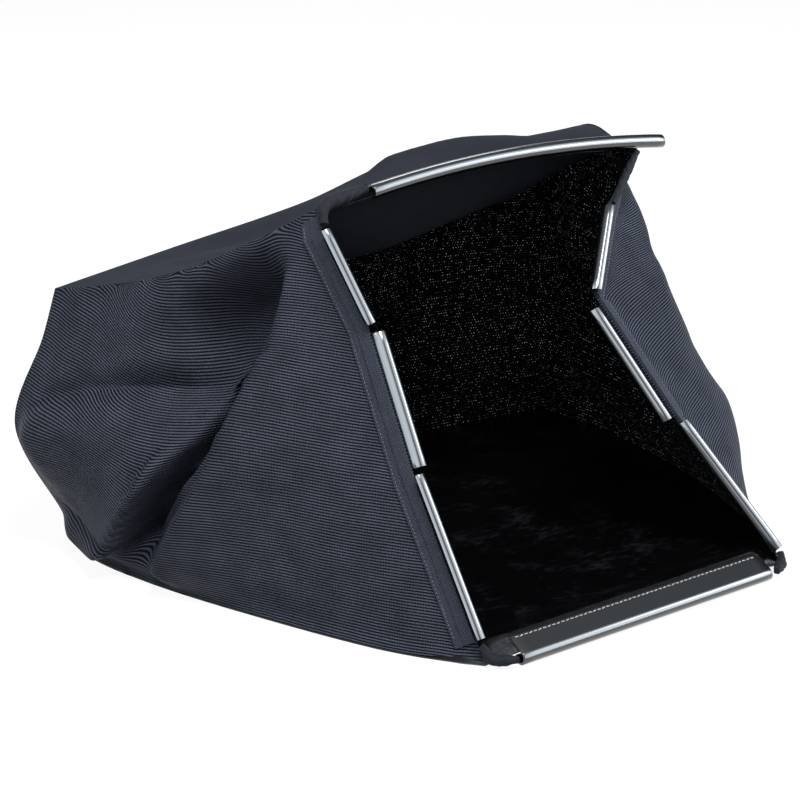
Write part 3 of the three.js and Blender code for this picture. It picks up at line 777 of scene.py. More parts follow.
    def _folded(self, name: str, sheet: Sheet) -> Sheet:
        """Folds a panel, and holds it to its seams.

        Args:
            name: The panel.
            sheet: The panel before it is folded.

        Returns:
            The same sheet, folded.
        """
        calm = [unit(softened(way, self.CALM_PASSES, rim=True)) for way in grid_directions(sheet.points)]
        along, up, normal = calm
        outward = self._turned_out(sheet.points, normal)
        fade = np.ones_like(sheet.u)
        for share in (sheet.u, 1 - sheet.u, sheet.v, 1 - sheet.v):
            fade = fade * smooth_step(share / self.SEAM_HOLD)
        lift = np.zeros_like(sheet.u)
        slide = np.zeros(sheet.u.shape + (2,))
        for fold in PANEL_FOLDS[name]:
            fold_lift, fold_slide = fold.shift(sheet.u, sheet.v)
            lift += fold_lift
            slide += fold_slide
        lift = softened(lift * fade, self.FOLD_PASSES)
        slide = softened(slide * fade[..., None], self.FOLD_PASSES)
        folded = sheet.points + outward * lift[..., None] + along * slide[..., :1] + up * slide[..., 1:]
        detail = self._detail(name, sheet)
        sheet.points = folded + outward * detail[..., None]
        longer = softened(self._weave(folded) - sheet.weave, self.WEAVE_PASSES)
        sheet.weave = sheet.weave + self.WEAVE_FOLLOW * longer
        sheet.normals = self._turned_out(sheet.points, grid_directions(sheet.points)[2])
        return sheet

    def _detail(self, name: str, sheet: Sheet) -> Array:
        """Adds the small unevenness of hanging cloth, and puckers along the seams.

        Args:
            name: The panel.
            sheet: The panel before it is folded.

        Returns:
            How far each point stands out, in millimetres.
        """
        seed = 1 + list(PANEL_FOLDS).index(name) * 7
        along, across = sheet.weave[..., 0], sheet.v * self.RIB_HEIGHT
        seam_distance = np.minimum(sheet.v, 1 - sheet.v) * self.RIB_HEIGHT
        rear_distance = (1 - sheet.u) * self.sizes.length
        mouth_distance = np.maximum(along - self.sizes.hem_width, 0)
        if name == "rear":
            rear_distance = np.minimum(sheet.u, 1 - sheet.u) * self.sizes.length
            mouth_distance = rear_distance
        hold = smooth_step(seam_distance / self.WAVE_FADE) * smooth_step(rear_distance / self.WAVE_FADE)
        hold = hold * smooth_step(mouth_distance / self.WAVE_FADE_MOUTH)
        if name == "bottom":
            wave = self.VINYL_WAVE
            return -wave.height * hold * (1 + soft_noise(along / wave.length, across / wave.width, seed))
        waves = np.zeros_like(along)
        for k, wave in enumerate(self.WAVES):
            place = along / wave.length + across / wave.slant
            waves += wave.height * soft_noise(place, across / wave.width, seed + k)
        by_seam = np.exp(-((seam_distance - self.PUCKER_PLACE) / self.PUCKER_WIDTH) ** 2)
        by_seam = by_seam * smooth_step(mouth_distance / self.PUCKER_FADE)
        by_seam = by_seam * smooth_step(rear_distance / self.PUCKER_FADE)
        which_seam = np.round(sheet.v) * self.PUCKER_SHIFT
        creases = soft_noise(along / self.PUCKER_LENGTH, which_seam, seed + len(self.WAVES))
        return waves * hold + self.PUCKER_HEIGHT * creases * by_seam

    def _turned_out(self, points: Array, normals: Array) -> Array:
        """Turns a grid's normals to point out of the bag.

        Args:
            points: The grid's points.
            normals: Its normals.

        Returns:
            The normals, all turned or none.
        """
        mean_normal = normals[1:-1, 1:-1].mean(axis=(0, 1))
        points_out = float(mean_normal @ (points.mean(axis=(0, 1)) - self.middle)) > 0
        return normals if points_out else -normals


# Materials

# Has a Mix node blend its inputs 6 and 7 as colours, by its input 0
COLOURS = {"data_type": "RGBA", "out": 2}


def linear(hex_colour: str) -> tuple[float, float, float, float]:
    """Turns an sRGB hex colour to linear light.

    Args:
        hex_colour: Six digits after a hash sign.

    Returns:
        Red, green, blue and alpha.
    """
    channels = [int(hex_colour[k:k + 2], 16) / 255 for k in (1, 3, 5)]
    red, green, blue = (c / 12.92 if c <= 0.04045 else ((c + 0.055) / 1.055) ** 2.4 for c in channels)
    return red, green, blue, 1.0


def add_node(tree: bpy.types.NodeTree, kind: str, *numbered: object, named: dict | None = None,
             out: int | str = 0, **settings: object) -> Socket | None:
    """Adds a node with its settings and links.

    Args:
        tree: The node tree.
        kind: The node's type after ShaderNode, and after a colon its operation.
        numbered: Its first inputs in order, each a value or a socket to link.
        named: More inputs, by name or number.
        out: Which output to return.
        settings: Its properties.

    Returns:
        The output's socket, or None from a node that ends the tree.
    """
    kind, _, operation = kind.partition(":")
    node = tree.nodes.new("ShaderNode" + kind)
    if operation:
        node.operation = operation
    for name, value in settings.items():
        setattr(node, name, value)
    for name, value in {**dict(enumerate(numbered)), **(named or {})}.items():
        if isinstance(value, Socket):
            tree.links.new(value, node.inputs[name])
        else:
            node.inputs[name].default_value = value
    return node.outputs[out] if node.outputs else None


class Finish:
    """A material whose nodes are built once."""

    name = "finish"
    made = None

    def material(self) -> bpy.types.Material:
        """Builds the material the first time that it is asked for.

        Returns:
            The material.
        """
        if self.made is None:
            self.made = bpy.data.materials.new(self.name)
            self.made.use_nodes = True
            self.tree = self.made.node_tree
            self.tree.nodes.clear()
            self.node("OutputMaterial", named={"Surface": self.build()})
        return self.made

    def build(self) -> Socket:
        """Builds the nodes and returns the shader that the surface gets."""
        raise NotImplementedError

    def node(self, kind: str, *numbered: object, **rest: object) -> Socket | None:
        """Adds a node to this finish, with the arguments of add_node."""
        return add_node(self.tree, kind, *numbered, **rest)

    def clouds(self, size_mm: float, detail: float = 3.0, stretch: tuple[float, float, float] = (1, 1, 1),
               vector: Socket | None = None) -> Socket:
        """Cloudy variation whose cells have a real size.

        Args:
            size_mm: Size of a cell in millimetres.
            detail: Octaves.
            stretch: How many times longer the cells are along each axis.
            vector: Coordinates in metres, or the object's own.

        Returns:
            Values from 0 to 1.
        """
        base = vector or self.node("TexCoord", out="Object")
        scale = tuple(1 / (size_mm * MM * part) for part in stretch)
        scaled = self.node("Mapping", named={"Vector": base, "Scale": scale})
        return self.node("TexNoise", named={"Vector": scaled, "Scale": 1.0, "Detail": detail})

    def weave_axes(self) -> list[Socket]:
        """Returns the millimetres along the cloth's ribs and across them."""
        axes = self.node("SeparateXYZ", self.node("UVMap", uv_map=WEAVE_MAP)).node.outputs
        return [self.node("Math:MULTIPLY", axes[k], WEAVE_UNIT_MM) for k in (0, 1)]

    def ripple(self, place: Socket, pitch: float) -> Socket:
        """Returns rounded ridges from 0 to 1, one to each pitch."""
        turn = self.node("Math:MULTIPLY", place, math.pi / pitch)
        return self.node("Math:ABSOLUTE", self.node("Math:SINE", turn))

    def relief(self, *layers: tuple[Socket, float]) -> Socket:
        """Lays bumps over each other.

        Args:
            layers: Each bump's height from 0 to 1, and its depth in millimetres.

        Returns:
            The bumped normal.
        """
        under: dict[str, Socket] = {}
        for height, depth in layers:
            under = {"Normal": self.node("Bump", named={"Height": height, "Distance": depth * MM, **under})}
        return under["Normal"]


class RibbedPolyester(Finish):
    """Woven polyester with ribs across the warp, like faille: each rib catches the light, and its colour
    also has a painted highlight on each crest and painted shade in each groove.

    Its ribs wander a little, and its threads step by half a pitch from rib to rib.
    """

    name = "ribbed_polyester"

    # Painted highlight on the rib crests, and painted shade in the grooves
    PAINTED_HIGHLIGHT_CREST = "#4d5260"
    PAINTED_SHADE_GROOVE = "#060709"
    RIB_PITCH_MM = 2.9
    THREAD_PITCH_MM = 2.3
    RIB_DEPTH_MM = 0.5
    THREAD_DEPTH_MM = 0.2
    WANDER_MM = 1.6
    WANDER_CELL_MM = 38
    WEAR_CELL_MM = 26
    # Narrows the painted highlight on each crest
    CREST_POWER = 3.0
    THREAD_SHARE = 0.3
    LEAST_WEAR = 0.45

    def build(self) -> Socket:
        """Builds the weave and returns its shader."""
        along, across = self.weave_axes()
        rib_place = self.node("Math:MULTIPLY_ADD", self.clouds(self.WANDER_CELL_MM), self.WANDER_MM, across)
        rib = self.ripple(rib_place, self.RIB_PITCH_MM)
        row = self.node("Math:FLOOR", self.node("Math:DIVIDE", rib_place, self.RIB_PITCH_MM))
        step = self.node("Math:MULTIPLY", self.node("Math:MODULO", row, 2.0), self.THREAD_PITCH_MM / 2)
        thread = self.ripple(self.node("Math:ADD", along, step), self.THREAD_PITCH_MM)
        threads = self.node("Math:MULTIPLY_ADD", thread, self.THREAD_SHARE, 1 - self.THREAD_SHARE)
        # Painted light: crests and thread tops get the painted highlight, grooves the painted shade
        lit = self.node("Math:MULTIPLY", self.node("Math:POWER", rib, self.CREST_POWER), threads)
        wear = self.node("Math:ADD", self.clouds(self.WEAR_CELL_MM, 4), self.LEAST_WEAR)
        painted_highlight_and_wear = self.node("Math:MULTIPLY", lit, wear)
        # Mixes the painted groove shade and crest highlight, varied by wear
        colour = self.node("Mix", named={0: painted_highlight_and_wear, 6: linear(self.PAINTED_SHADE_GROOVE), 7: linear(self.PAINTED_HIGHLIGHT_CREST)}, **COLOURS)
        return self.node("BsdfPrincipled", named={
            "Base Color": colour, "Roughness": 0.5, "Specular IOR Level": 0.035,
            "Normal": self.relief((rib, self.RIB_DEPTH_MM), (thread, self.THREAD_DEPTH_MM))})


class RibbedShadedInside(Finish):
    """The inside of the ribbed cloth, painted near black as shade, with daylight through its pinholes
    painted on as glowing dots.
    """

    name = "ribbed_shaded_inside"

    # Painted shade: the inside is near black, far darker than the same cloth outside
    COLOUR = "#050506"
    # Colour of the daylight painted into the pinholes as glow
    PAINTED_PINHOLE_LIGHT = (0.85, 0.9, 1.0, 1.0)
    PINHOLE_MM = 0.34
    PITCH_MM = 2.9
    RIB_DEPTH_MM = 0.4
    RARITY = 5.0
    PATCH_CELL_MM = 60
    PATCH_POWER = 1.5
    # Strength of the painted pinhole glow
    PAINTED_GLOW_STRENGTH = 1.2

    def build(self) -> Socket:
        """Builds the lining and returns its shader."""
        along, across = self.weave_axes()
        cells = [self.node("Math:DIVIDE", axis, self.PITCH_MM) for axis in (along, across)]
        squares = []
        for place in cells:
            away = self.node("Math:SUBTRACT", self.node("Math:FRACT", place), 0.5)
            squares.append(self.node("Math:MULTIPLY", away, away))
        distance = self.node("Math:SQRT", self.node("Math:ADD", *squares))
        hole = self.node("Math:LESS_THAN", distance, self.PINHOLE_MM / self.PITCH_MM)
        cell = self.node("CombineXYZ", *(self.node("Math:FLOOR", place) for place in cells))
        chance = self.node("TexWhiteNoise", named={"Vector": cell}, out="Value")
        patch = self.node("Math:POWER", self.clouds(self.PATCH_CELL_MM), self.PATCH_POWER)
        # Painted light: chosen pinholes glow by emission, in patches, for daylight through the cloth
        painted_pinhole_share = self.node("Math:MULTIPLY", self.node("Math:POWER", chance, self.RARITY), patch)
        glow = self.node("Math:MULTIPLY", self.node("Math:MULTIPLY", hole, painted_pinhole_share), self.PAINTED_GLOW_STRENGTH)
        rib = self.ripple(across, self.PITCH_MM)
        return self.node("BsdfPrincipled", named={
            "Base Color": linear(self.COLOUR), "Roughness": 0.7, "Specular IOR Level": 0.05,
            "Normal": self.relief((rib, self.RIB_DEPTH_MM)),
            "Emission Color": self.PAINTED_PINHOLE_LIGHT, "Emission Strength": glow})


@dataclass
class SmoothPolyester(Finish):
    """Tight plain-woven cover cloth: smooth and matt, darker where it is less worn."""

    colour: str
    darker: str

    name = "smooth_polyester"

    THREAD_PITCH_MM = 1.1
    THREAD_DEPTH_MM = 0.08
    WEAR_CELL_MM = 30
    CRUMPLE_CELL_MM = 9
    CRUMPLE_DEPTH_MM = 0.25

    def build(self) -> Socket:
        """Builds the cloth and returns its shader."""
        ripples = (self.ripple(axis, self.THREAD_PITCH_MM) for axis in self.weave_axes())
        threads = self.node("Math:MULTIPLY", *ripples)
        wear = self.clouds(self.WEAR_CELL_MM, 5)
        colour = self.node("Mix", named={0: wear, 6: linear(self.darker), 7: linear(self.colour)}, **COLOURS)
        return self.node("BsdfPrincipled", named={
            "Base Color": colour, "Roughness": 0.8, "Specular IOR Level": 0.05,
            "Normal": self.relief((threads, self.THREAD_DEPTH_MM),
                                  (self.clouds(self.CRUMPLE_CELL_MM, 2), self.CRUMPLE_DEPTH_MM))})


class ScuffedVinyl(Finish):
    """Calendered vinyl of the base: black and glossy, dulled by scuffs."""

    name = "scuffed_vinyl"

    COLOUR = "#030304"
    SCUFF = "#1e1f22"
    CLOUD_CELL_MM = 55
    SCUFF_CELL_MM = 5
    SCUFF_RANGE = {"From Min": 0.27, "From Max": 0.42, "To Max": 0.5}
    SCRATCH_CELL_MM = 1.6
    SCRATCH_DEPTH_MM = 0.05
    BUCKLE_CELL_MM = 22
    BUCKLE_DEPTH_MM = 1.1
    LEAST_ROUGHNESS = 0.12
    DULLING = 0.22

    def build(self) -> Socket:
        """Builds the vinyl and returns its shader."""
        clouds = self.clouds(self.CLOUD_CELL_MM, 5)
        streaks = self.clouds(self.SCUFF_CELL_MM, 6, stretch=(2, 1, 1))
        scratch = self.clouds(self.SCRATCH_CELL_MM, stretch=(9, 1, 1))
        worn = self.node("MapRange", named={
            "Value": self.node("Math:MULTIPLY", streaks, clouds), **self.SCUFF_RANGE})
        colour = self.node("Mix", named={0: worn, 6: linear(self.COLOUR), 7: linear(self.SCUFF)}, **COLOURS)
        return self.node("BsdfPrincipled", named={
            "Base Color": colour,
            "Roughness": self.node("Math:MULTIPLY_ADD", clouds, self.DULLING, self.LEAST_ROUGHNESS),
            "IOR": 1.52, "Specular IOR Level": 0.34,
            "Normal": self.relief((self.clouds(self.BUCKLE_CELL_MM), self.BUCKLE_DEPTH_MM),
                                  (scratch, self.SCRATCH_DEPTH_MM))})


class ExtrudedPlastic(Finish):
    """Extruded plastic of the clips: near black, glossy, with faint lines along the extrusion."""

    name = "extruded_plastic"

    COLOUR = "#08090b"
    LINE_MM = 0.9
    LINE_STRETCH = 60
    RUB_CELL_MM = 7
    LEAST_ROUGHNESS = 0.16
    DULLING = 0.07

    def build(self) -> Socket:
        """Builds the plastic and returns its shader."""
        scales = (MM / self.LINE_STRETCH, MM)
        place = self.node("CombineXYZ", *(
            self.node("Math:MULTIPLY", axis, scale) for axis, scale in zip(self.weave_axes(), scales)))
        lines = self.clouds(self.LINE_MM, vector=place)
        rub = self.node("Math:ADD", self.clouds(self.RUB_CELL_MM, 5), lines)
        return self.node("BsdfPrincipled", named={
            "Base Color": linear(self.COLOUR),
            "Roughness": self.node("Math:MULTIPLY_ADD", rub, self.DULLING, self.LEAST_ROUGHNESS),
            "IOR": 1.54, "Coat Weight": 1.0, "Coat Roughness": 0.1})


@dataclass
class TwillTape(Finish):
    """Narrow woven tape and hem cloth, with fine slanting ribs: a painted highlight on each crest and
    painted shade in each groove.
    """

    # Colours of the painted highlight on the rib crests and of the painted shade in the grooves
    crest: str
    groove: str

    name = "twill_tape"

    PITCH_MM = 1.7
    RIB_DEPTH_MM = 0.25
    SLANT = 0.6
    WEAR_CELL_MM = 14
    WEAR = (0.6, 0.6)

    def build(self) -> Socket:
        """Builds the tape and returns its shader."""
        along, across = self.weave_axes()
        rib = self.ripple(self.node("Math:MULTIPLY_ADD", along, self.SLANT, across), self.PITCH_MM)
        wear = self.node("Math:MULTIPLY_ADD", self.clouds(self.WEAR_CELL_MM, 4), *self.WEAR)
        worn = self.node("Math:MULTIPLY", rib, wear)
        # worn carries the painted rib highlight and shade, varied by real wear
        colour = self.node("Mix", named={0: worn, 6: linear(self.groove), 7: linear(self.crest)}, **COLOURS)
        return self.node("BsdfPrincipled", named={
            "Base Color": colour, "Roughness": 0.6, "Specular IOR Level": 0.08,
            "Normal": self.relief((rib, self.RIB_DEPTH_MM))})


@dataclass
class SewingThread(Finish):
    """Spun polyester thread: dull grey, twisted."""

    colour: str

    name = "sewing_thread"

    FIBRE_MM = 0.5
    FIBRE_DEPTH_MM = 0.08
    SHADE = 0.6

    def build(self) -> Socket:
        """Builds the thread and returns its shader."""
        fibre = self.clouds(self.FIBRE_MM)
        light = linear(self.colour)
        dark = tuple(self.SHADE * c for c in light[:3]) + (1.0,)
        colour = self.node("Mix", named={0: fibre, 6: dark, 7: light}, **COLOURS)
        return self.node("BsdfPrincipled", named={
            "Base Color": colour, "Roughness": 0.75, "Sheen Weight": 0.2,
            "Normal": self.relief((fibre, self.FIBRE_DEPTH_MM))})


RIBBED = RibbedPolyester()
# The ribbed cloth's inside, painted near black as shade, with painted pinhole glow
RIBBED_SHADED_INSIDE = RibbedShadedInside()
SMOOTH = SmoothPolyester("#26282f", "#1d1f25")
# Painted shade: a darker copy of the top cloth, for its inside and its facing
SMOOTH_SHADED_INSIDE = SmoothPolyester("#15161a", "#101115")
VINYL = ScuffedVinyl()
PLASTIC = ExtrudedPlastic()
TAPE = TwillTape("#3f434f", "#0b0c10")
# Painted shade: a darker copy of the tape, for the crumpled corner rolls
SHADED_TAPE = TwillTape("#24262c", "#08090b")
GREY_THREAD = SewingThread("#a8a6a2")
DARK_THREAD = SewingThread("#5d616c")


# Meshes

def deselect_all() -> None:
    """Deselects every object, because an operator acts on all that is selected."""
    for other in bpy.context.selected_objects:
        other.select_set(False)


def select_only(obj: Piece) -> None:
    """Selects one object alone and makes it active.

    Args:
        obj: The object.
    """
    deselect_all()
    obj.select_set(True)
    bpy.context.view_layer.objects.active = obj


def apply_modifiers(obj: Piece) -> None:
    """Applies all of an object's modifiers in order."""
    select_only(obj)
    for modifier in list(obj.modifiers):
        bpy.ops.object.modifier_apply(modifier=modifier.name)


def smooth(obj: Piece, degrees: float) -> None:
    """Shades an object smooth, with edges sharper than so many degrees kept."""
    select_only(obj)
    bpy.ops.object.shade_smooth_by_angle(angle=math.radians(degrees))


def lay_weave(data: bpy.types.Mesh, weave: Array) -> None:
    """Gives a mesh its weave map.

    Args:
        data: The mesh.
        weave: Millimetre coordinates of each of its points.
    """
    layer = data.uv_layers.new(name=WEAVE_MAP)
    corner = np.zeros(len(data.loops), dtype=np.int32)
    data.loops.foreach_get("vertex_index", corner)
    layer.data.foreach_set("uv", (weave[corner] / WEAVE_UNIT_MM).astype(np.float32).ravel())


class Workshop:
    """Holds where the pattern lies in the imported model, and puts pieces there."""

    CLOTH_SMOOTH = 50.0

    def __init__(self, pattern: BagPattern) -> None:
        """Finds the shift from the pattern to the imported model, by the bottom clip.

        Args:
            pattern: The bag's pattern.
        """
        s = pattern.sizes
        start = pattern.bottom_clip[0]
        low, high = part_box("bottom_clip")
        flange_end = start.point + start.run * s.clip_flange - start.out * (s.vinyl + s.gap)
        self.shift = point(low.x / MM - start.point[0], high.y / MM - flange_end[1], 0)
        LOG.info("pattern shift %s mm", np.round(self.shift, 3))

    def place(self, points: Array) -> Array:
        """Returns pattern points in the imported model's frame, in metres."""
        return (points + self.shift) * MM

    def mesh(self, name: str, points: Array, faces: Faces, weave: Array | None = None) -> Piece:
        """Makes a mesh object.

        Args:
            name: Its name.
            points: Its points in the pattern's frame, in millimetres.
            faces: Its faces, by point numbers.
            weave: Millimetre weave coordinates for each point.

        Returns:
            The object.
        """
        data = bpy.data.meshes.new(name)
        data.from_pydata([tuple(p) for p in self.place(points)], [], faces)
        if weave is not None:
            lay_weave(data, weave)
        obj = bpy.data.objects.new(name, data)
        bpy.context.scene.collection.objects.link(obj)
        return obj

    def cloth(self, name: str, sheet: Sheet, thickness: float, outside: Finish, inside: Finish) -> Piece:
        """Makes a closed sheet of cloth from a grid of points.

        Args:
            name: Its name.
            sheet: Its outer face.
            thickness: Its thickness in millimetres.
            outside: Finish of the face that looks out.
            inside: Finish of the face that looks in.

        Returns:
            The object.
        """
        own = grid_directions(sheet.points)[2]
        facing = float(np.mean(np.sum(own * sheet.normals, axis=-1))) > 0
        number = np.arange(sheet.points[..., 0].size).reshape(sheet.points.shape[:2])
        rings = np.stack([number[:-1, :-1], number[1:, :-1], number[1:, 1:], number[:-1, 1:]], axis=-1)
        faces = (rings if facing else rings[..., ::-1]).reshape(-1, 4).tolist()
        obj = self.mesh(name, sheet.points.reshape(-1, 3), faces, sheet.weave.reshape(-1, 2))
        for finish in (outside, inside):
            obj.data.materials.append(finish.material())
        solid = obj.modifiers.new("thickness", "SOLIDIFY")
        solid.thickness = thickness * MM
        solid.offset = -1.0
        solid.material_offset = 1
        apply_modifiers(obj)
        smooth(obj, self.CLOTH_SMOOTH)
        return obj


def finish_piece(obj: Piece, slot: str, *nodes: str) -> Piece:
    """Rides a piece on the bag, hides the CAD nodes that it replaces, and logs its faces.

    Args:
        obj: The piece.
        slot: Not used.
        nodes: The CAD nodes that it replaces.

    Returns:
        The piece.
    """
    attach(obj, ROOT_BODY)
    if nodes:
        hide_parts(*nodes)
    LOG.info("%s: %d faces", obj.name, len(obj.data.polygons))
    return obj


# Soft pieces

@dataclass(frozen=True)
class PanelCloth:
    """What a panel is cut from, and its flat cut in metres."""

    piece: str
    node: str
    slot: str
    outside: Finish
    inside: Finish
    flat: tuple[float, float]
    held: str = "draped"


RIBBED_CLOTH = ("ribbed_cloth", RIBBED, RIBBED_SHADED_INSIDE)
PANEL_CLOTHS = {
    "left": PanelCloth("left_side_cloth", "left_side_panel", *RIBBED_CLOTH, (0.38, 0.5)),
    "right": PanelCloth("right_side_cloth", "right_side_panel", *RIBBED_CLOTH, (0.44, 0.5)),
    "rear": PanelCloth("rear_cloth", "rear_panel", *RIBBED_CLOTH, (0.6, 0.32)),
    "top": PanelCloth("top_cloth", "top_panel", "smooth_cloth", SMOOTH, SMOOTH_SHADED_INSIDE, (0.5, 0.38)),
    "bottom": PanelCloth("base_vinyl", "bottom_panel", "vinyl", VINYL, VINYL, (0.54, 0.52), "laid"),
}


@dataclass(frozen=True)
class Strip:
    """A hem, tape or facing on the first columns of a panel."""

    piece: str
    node: str
    slot: str
    panel: str
    columns: int
    outer: float
    thickness: float
    finish: Finish


@dataclass
class BagBody:
    """The five panels of cloth and vinyl, with their hems, tapes and facing."""

    pattern: BagPattern
    shop: Workshop

    def build(self) -> None:
        """Builds the strips, and then the panels that carry them."""
        s = self.pattern.sizes
        hem, tape = self.pattern.HEM_COLUMNS + 1, self.pattern.HEM_COLUMNS // 2 + 1
        hem_outer = s.gap + s.hem
        tape_outer = hem_outer + s.gap + s.tape
        kinds = (
            ("hem", "mouth_hem", "ribbed_cloth", hem, hem_outer, s.hem),
            ("tape", "edge_tape", "binding_tape", tape, tape_outer, s.tape),
        )
        strips = [
            Strip(f"{side}_{kind}", f"{side}_{node}", slot, side, columns, outer, thickness, TAPE)
            for kind, node, slot, columns, outer, thickness in kinds for side in ("left", "right")
        ]
        strips.append(Strip("top_facing", "top_mouth_facing", "smooth_cloth", "top", hem,
                            -(s.cloth + s.gap), s.hem, SMOOTH_SHADED_INSIDE))
        carried: dict[str, list[Piece]] = {name: [] for name in PANEL_CLOTHS}
        for strip in strips:
            carried[strip.panel].append(self._strip(strip))
        for name, cut in PANEL_CLOTHS.items():
            thickness = s.vinyl if name == "bottom" else s.cloth
            panel = self.shop.cloth(cut.piece, self.pattern.panels[name], thickness, cut.outside, cut.inside)
            finish_piece(panel, cut.slot, cut.node)

    def _strip(self, strip: Strip) -> Piece:
        """Builds one strip on its panel.

        Args:
            strip: The strip.

        Returns:
            The piece.
        """
        sheet = self.pattern.panels[strip.panel]
        end = self.pattern.ROW_FINENESS
        cut = (slice(end, -end), slice(0, strip.columns))
        points = sheet.points[cut] + sheet.normals[cut] * strip.outer
        own = Sheet(points, sheet.u[cut], sheet.v[cut], sheet.weave[cut], sheet.normals[cut])
        obj = self.shop.cloth(strip.piece, own, strip.thickness, strip.finish, strip.finish)
        return finish_piece(obj, strip.slot, strip.node)

    def line_on(self, panel: str, column: float, height: float) -> tuple[Array, Array]:
        """Finds a line along a hem.

        Args:
            panel: The panel.
            column: Which column of the hem's grid, fractions between two.
            height: Millimetres out of the panel.

        Returns:
            The line's points and normals.
        """
        sheet = self.pattern.panels[panel]
        end = self.pattern.ROW_FINENESS + 2
        low = int(column)
        points, normals = (
            mixed(grid[end:-end, low], grid[end:-end, low + 1], column - low)
            for grid in (sheet.points, sheet.normals))
        return points + unit(normals) * height, unit(normals)


# Cosine to straight up, past which a path counts as upright
UPRIGHT = 0.9


def transported_frames(path: Array) -> tuple[Array, Array]:
    """Carries a cross direction along a path without twisting it.

    Args:
        path: The path's points.

    Returns:
        Two cross directions for each point.
    """
    along = unit(np.gradient(path, axis=0))
    start = UP if abs(along[0] @ UP) < UPRIGHT else RIGHT
    cross = [unit(np.cross(along[0], start))]
    for direction in along[1:]:
        cross.append(unit(cross[-1] - direction * (cross[-1] @ direction)))
    first = np.array(cross)
    return first, np.cross(along, first)


def roll(path: Array, radii: Array) -> tuple[Array, Faces, Array]:
    """Makes a closed roll along a path.

    Args:
        path: The path's points.
        radii: The radius at each point, and at each side of it.

    Returns:
        Its points, faces and weave coordinates.
    """
    first, second = transported_frames(path)
    count, sides = radii.shape
    turn = np.arange(sides) * 2 * math.pi / sides
    ring = first[:, None] * np.cos(turn)[None, :, None] + second[:, None] * np.sin(turn)[None, :, None]
    points = path[:, None] + ring * radii[..., None]
    around = np.abs(turn - math.pi) * radii.mean()
    weave = np.stack(np.meshgrid(around, walked(path)), axis=-1)
    number = np.arange(count * sides).reshape(count, sides)
    beside = np.roll(number, -1, axis=1)
    faces = np.stack([number[:-1], beside[:-1], beside[1:], number[1:]], axis=-1).reshape(-1, 4).tolist()
    faces += [number[0, ::-1].tolist(), number[-1].tolist()]
    return points.reshape(-1, 3), faces, weave.reshape(-1, 2)


@dataclass
class Corners:
    """The gathered and bound corners of the mouth, in millimetres."""

    pattern: BagPattern
    shop: Workshop
    gather_radius: float = 6.5
    strap_radius: float = 3.9
    binding_radius: float = 5.2
    past_clip: float = 5.0
    past_end: float = 6.0
    under_corner: float = 3.0
    strap_bends: tuple[float, float] = (0.45, 0.8)

    STEPS = 72
    SIDES = 28
    END_SHARE = 0.06
    SEEDS = (11, 23, 31, 43)
    TWIST_LOBES = 1.5
    TWIST_TURN = 0.28
    CREASE_ROUND = 2.1
    CREASE_LENGTH = 3.2
    FORM = (0.86, 0.16, 0.13)

    def _before(self, place: Array, radius: float) -> Array:
        """Returns a point in front of the cloth's edge by a roll's radius."""
        return place - self.pattern.into_mouth * (radius + self.pattern.sizes.gap)

    def build(self) -> None:
        """Builds the four corners."""
        p = self.pattern
        wide, strap, bound = self.gather_radius, self.strap_radius, self.binding_radius
        left_end = p.clips["left_upper_clip"][2].point
        right_end = p.clips["right_upper_clip"][2].point
        past = p.up_slope * self.past_clip
        gather_seed, strap_seed, *foot_seeds = self.SEEDS
        gather_way = (left_end + past, p.top_left.point - p.up_slope * self.under_corner,
                      p.top_clip[0].point - RIGHT * self.past_end)
        strap_start = right_end + p.up_slope * strap + RIGHT * self.past_end
        strap_bends = [mixed(right_end, p.top_right.point, share) for share in self.strap_bends]
        strap_way = (strap_start, *strap_bends)
        self._gather("top_left_gather", "top_left_corner_gather",
                     [self._before(place, wide) for place in gather_way], wide, gather_seed)
        self._gather("top_right_strap", "top_right_corner_strap",
                     [self._before(place, strap) for place in strap_way], strap, strap_seed)
        feet = (("left", p.bottom_left, point(3, -2, 0), point(-6, -8, -2)),
                ("right", p.bottom_right, point(-3, 1, 0), point(6, -8, -2)))
        for clip_end, (side, foot, bend, lead), seed in zip(p.bottom_clip, feet, foot_seeds):
            start = p.clips[f"{side}_lower_clip"][1].point - past
            way = [self._before(start, bound), self._before(foot.point + UP * bound, bound) + bend,
                   clip_end.point + lead]
            self._gather(f"bottom_{side}_binding", f"bottom_{side}_corner_binding", way, bound, seed)

    def _gather(self, name: str, node: str, way: list[Array], radius: float, seed: int) -> None:
        """Builds one crumpled roll of gathered cloth.

        Args:
            name: The piece.
            node: The CAD node that it stands for.
            way: Points that it passes through.
            radius: Its radius in millimetres.
            seed: Which crumpling.
        """
        curve = SeamCurve(way)
        share = np.linspace(0, 1, self.STEPS)
        turn = np.arange(self.SIDES) * 2 * math.pi / self.SIDES
        around, far = np.meshgrid(turn, share * curve.length)
        swell = 0.5 + 0.5 * np.sin(math.pi * np.clip(share, self.END_SHARE, 1 - self.END_SHARE))
        twist = np.abs(np.sin(self.TWIST_LOBES * around + far * self.TWIST_TURN + seed))
        creases = soft_noise(np.cos(around) * self.CREASE_ROUND + seed,
                             np.sin(around) * self.CREASE_ROUND + far / self.CREASE_LENGTH, seed)
        plain, twisted, creased = self.FORM
        form = plain + twisted * twist + creased * creases
        obj = self.shop.mesh(name, *roll(curve.at(share), radius * swell[:, None] * form))
        obj.data.materials.append(SHADED_TAPE.material())
        smooth(obj, self.shop.CLOTH_SMOOTH)
        finish_piece(obj, "binding_tape", node)


# Rigid pieces

@dataclass(frozen=True)
class ClipSection:
    """How a clip sits on its cloth, and how far its hook turns."""

    cloth: float
    outside: bool
    curl: Curl
    turn: float


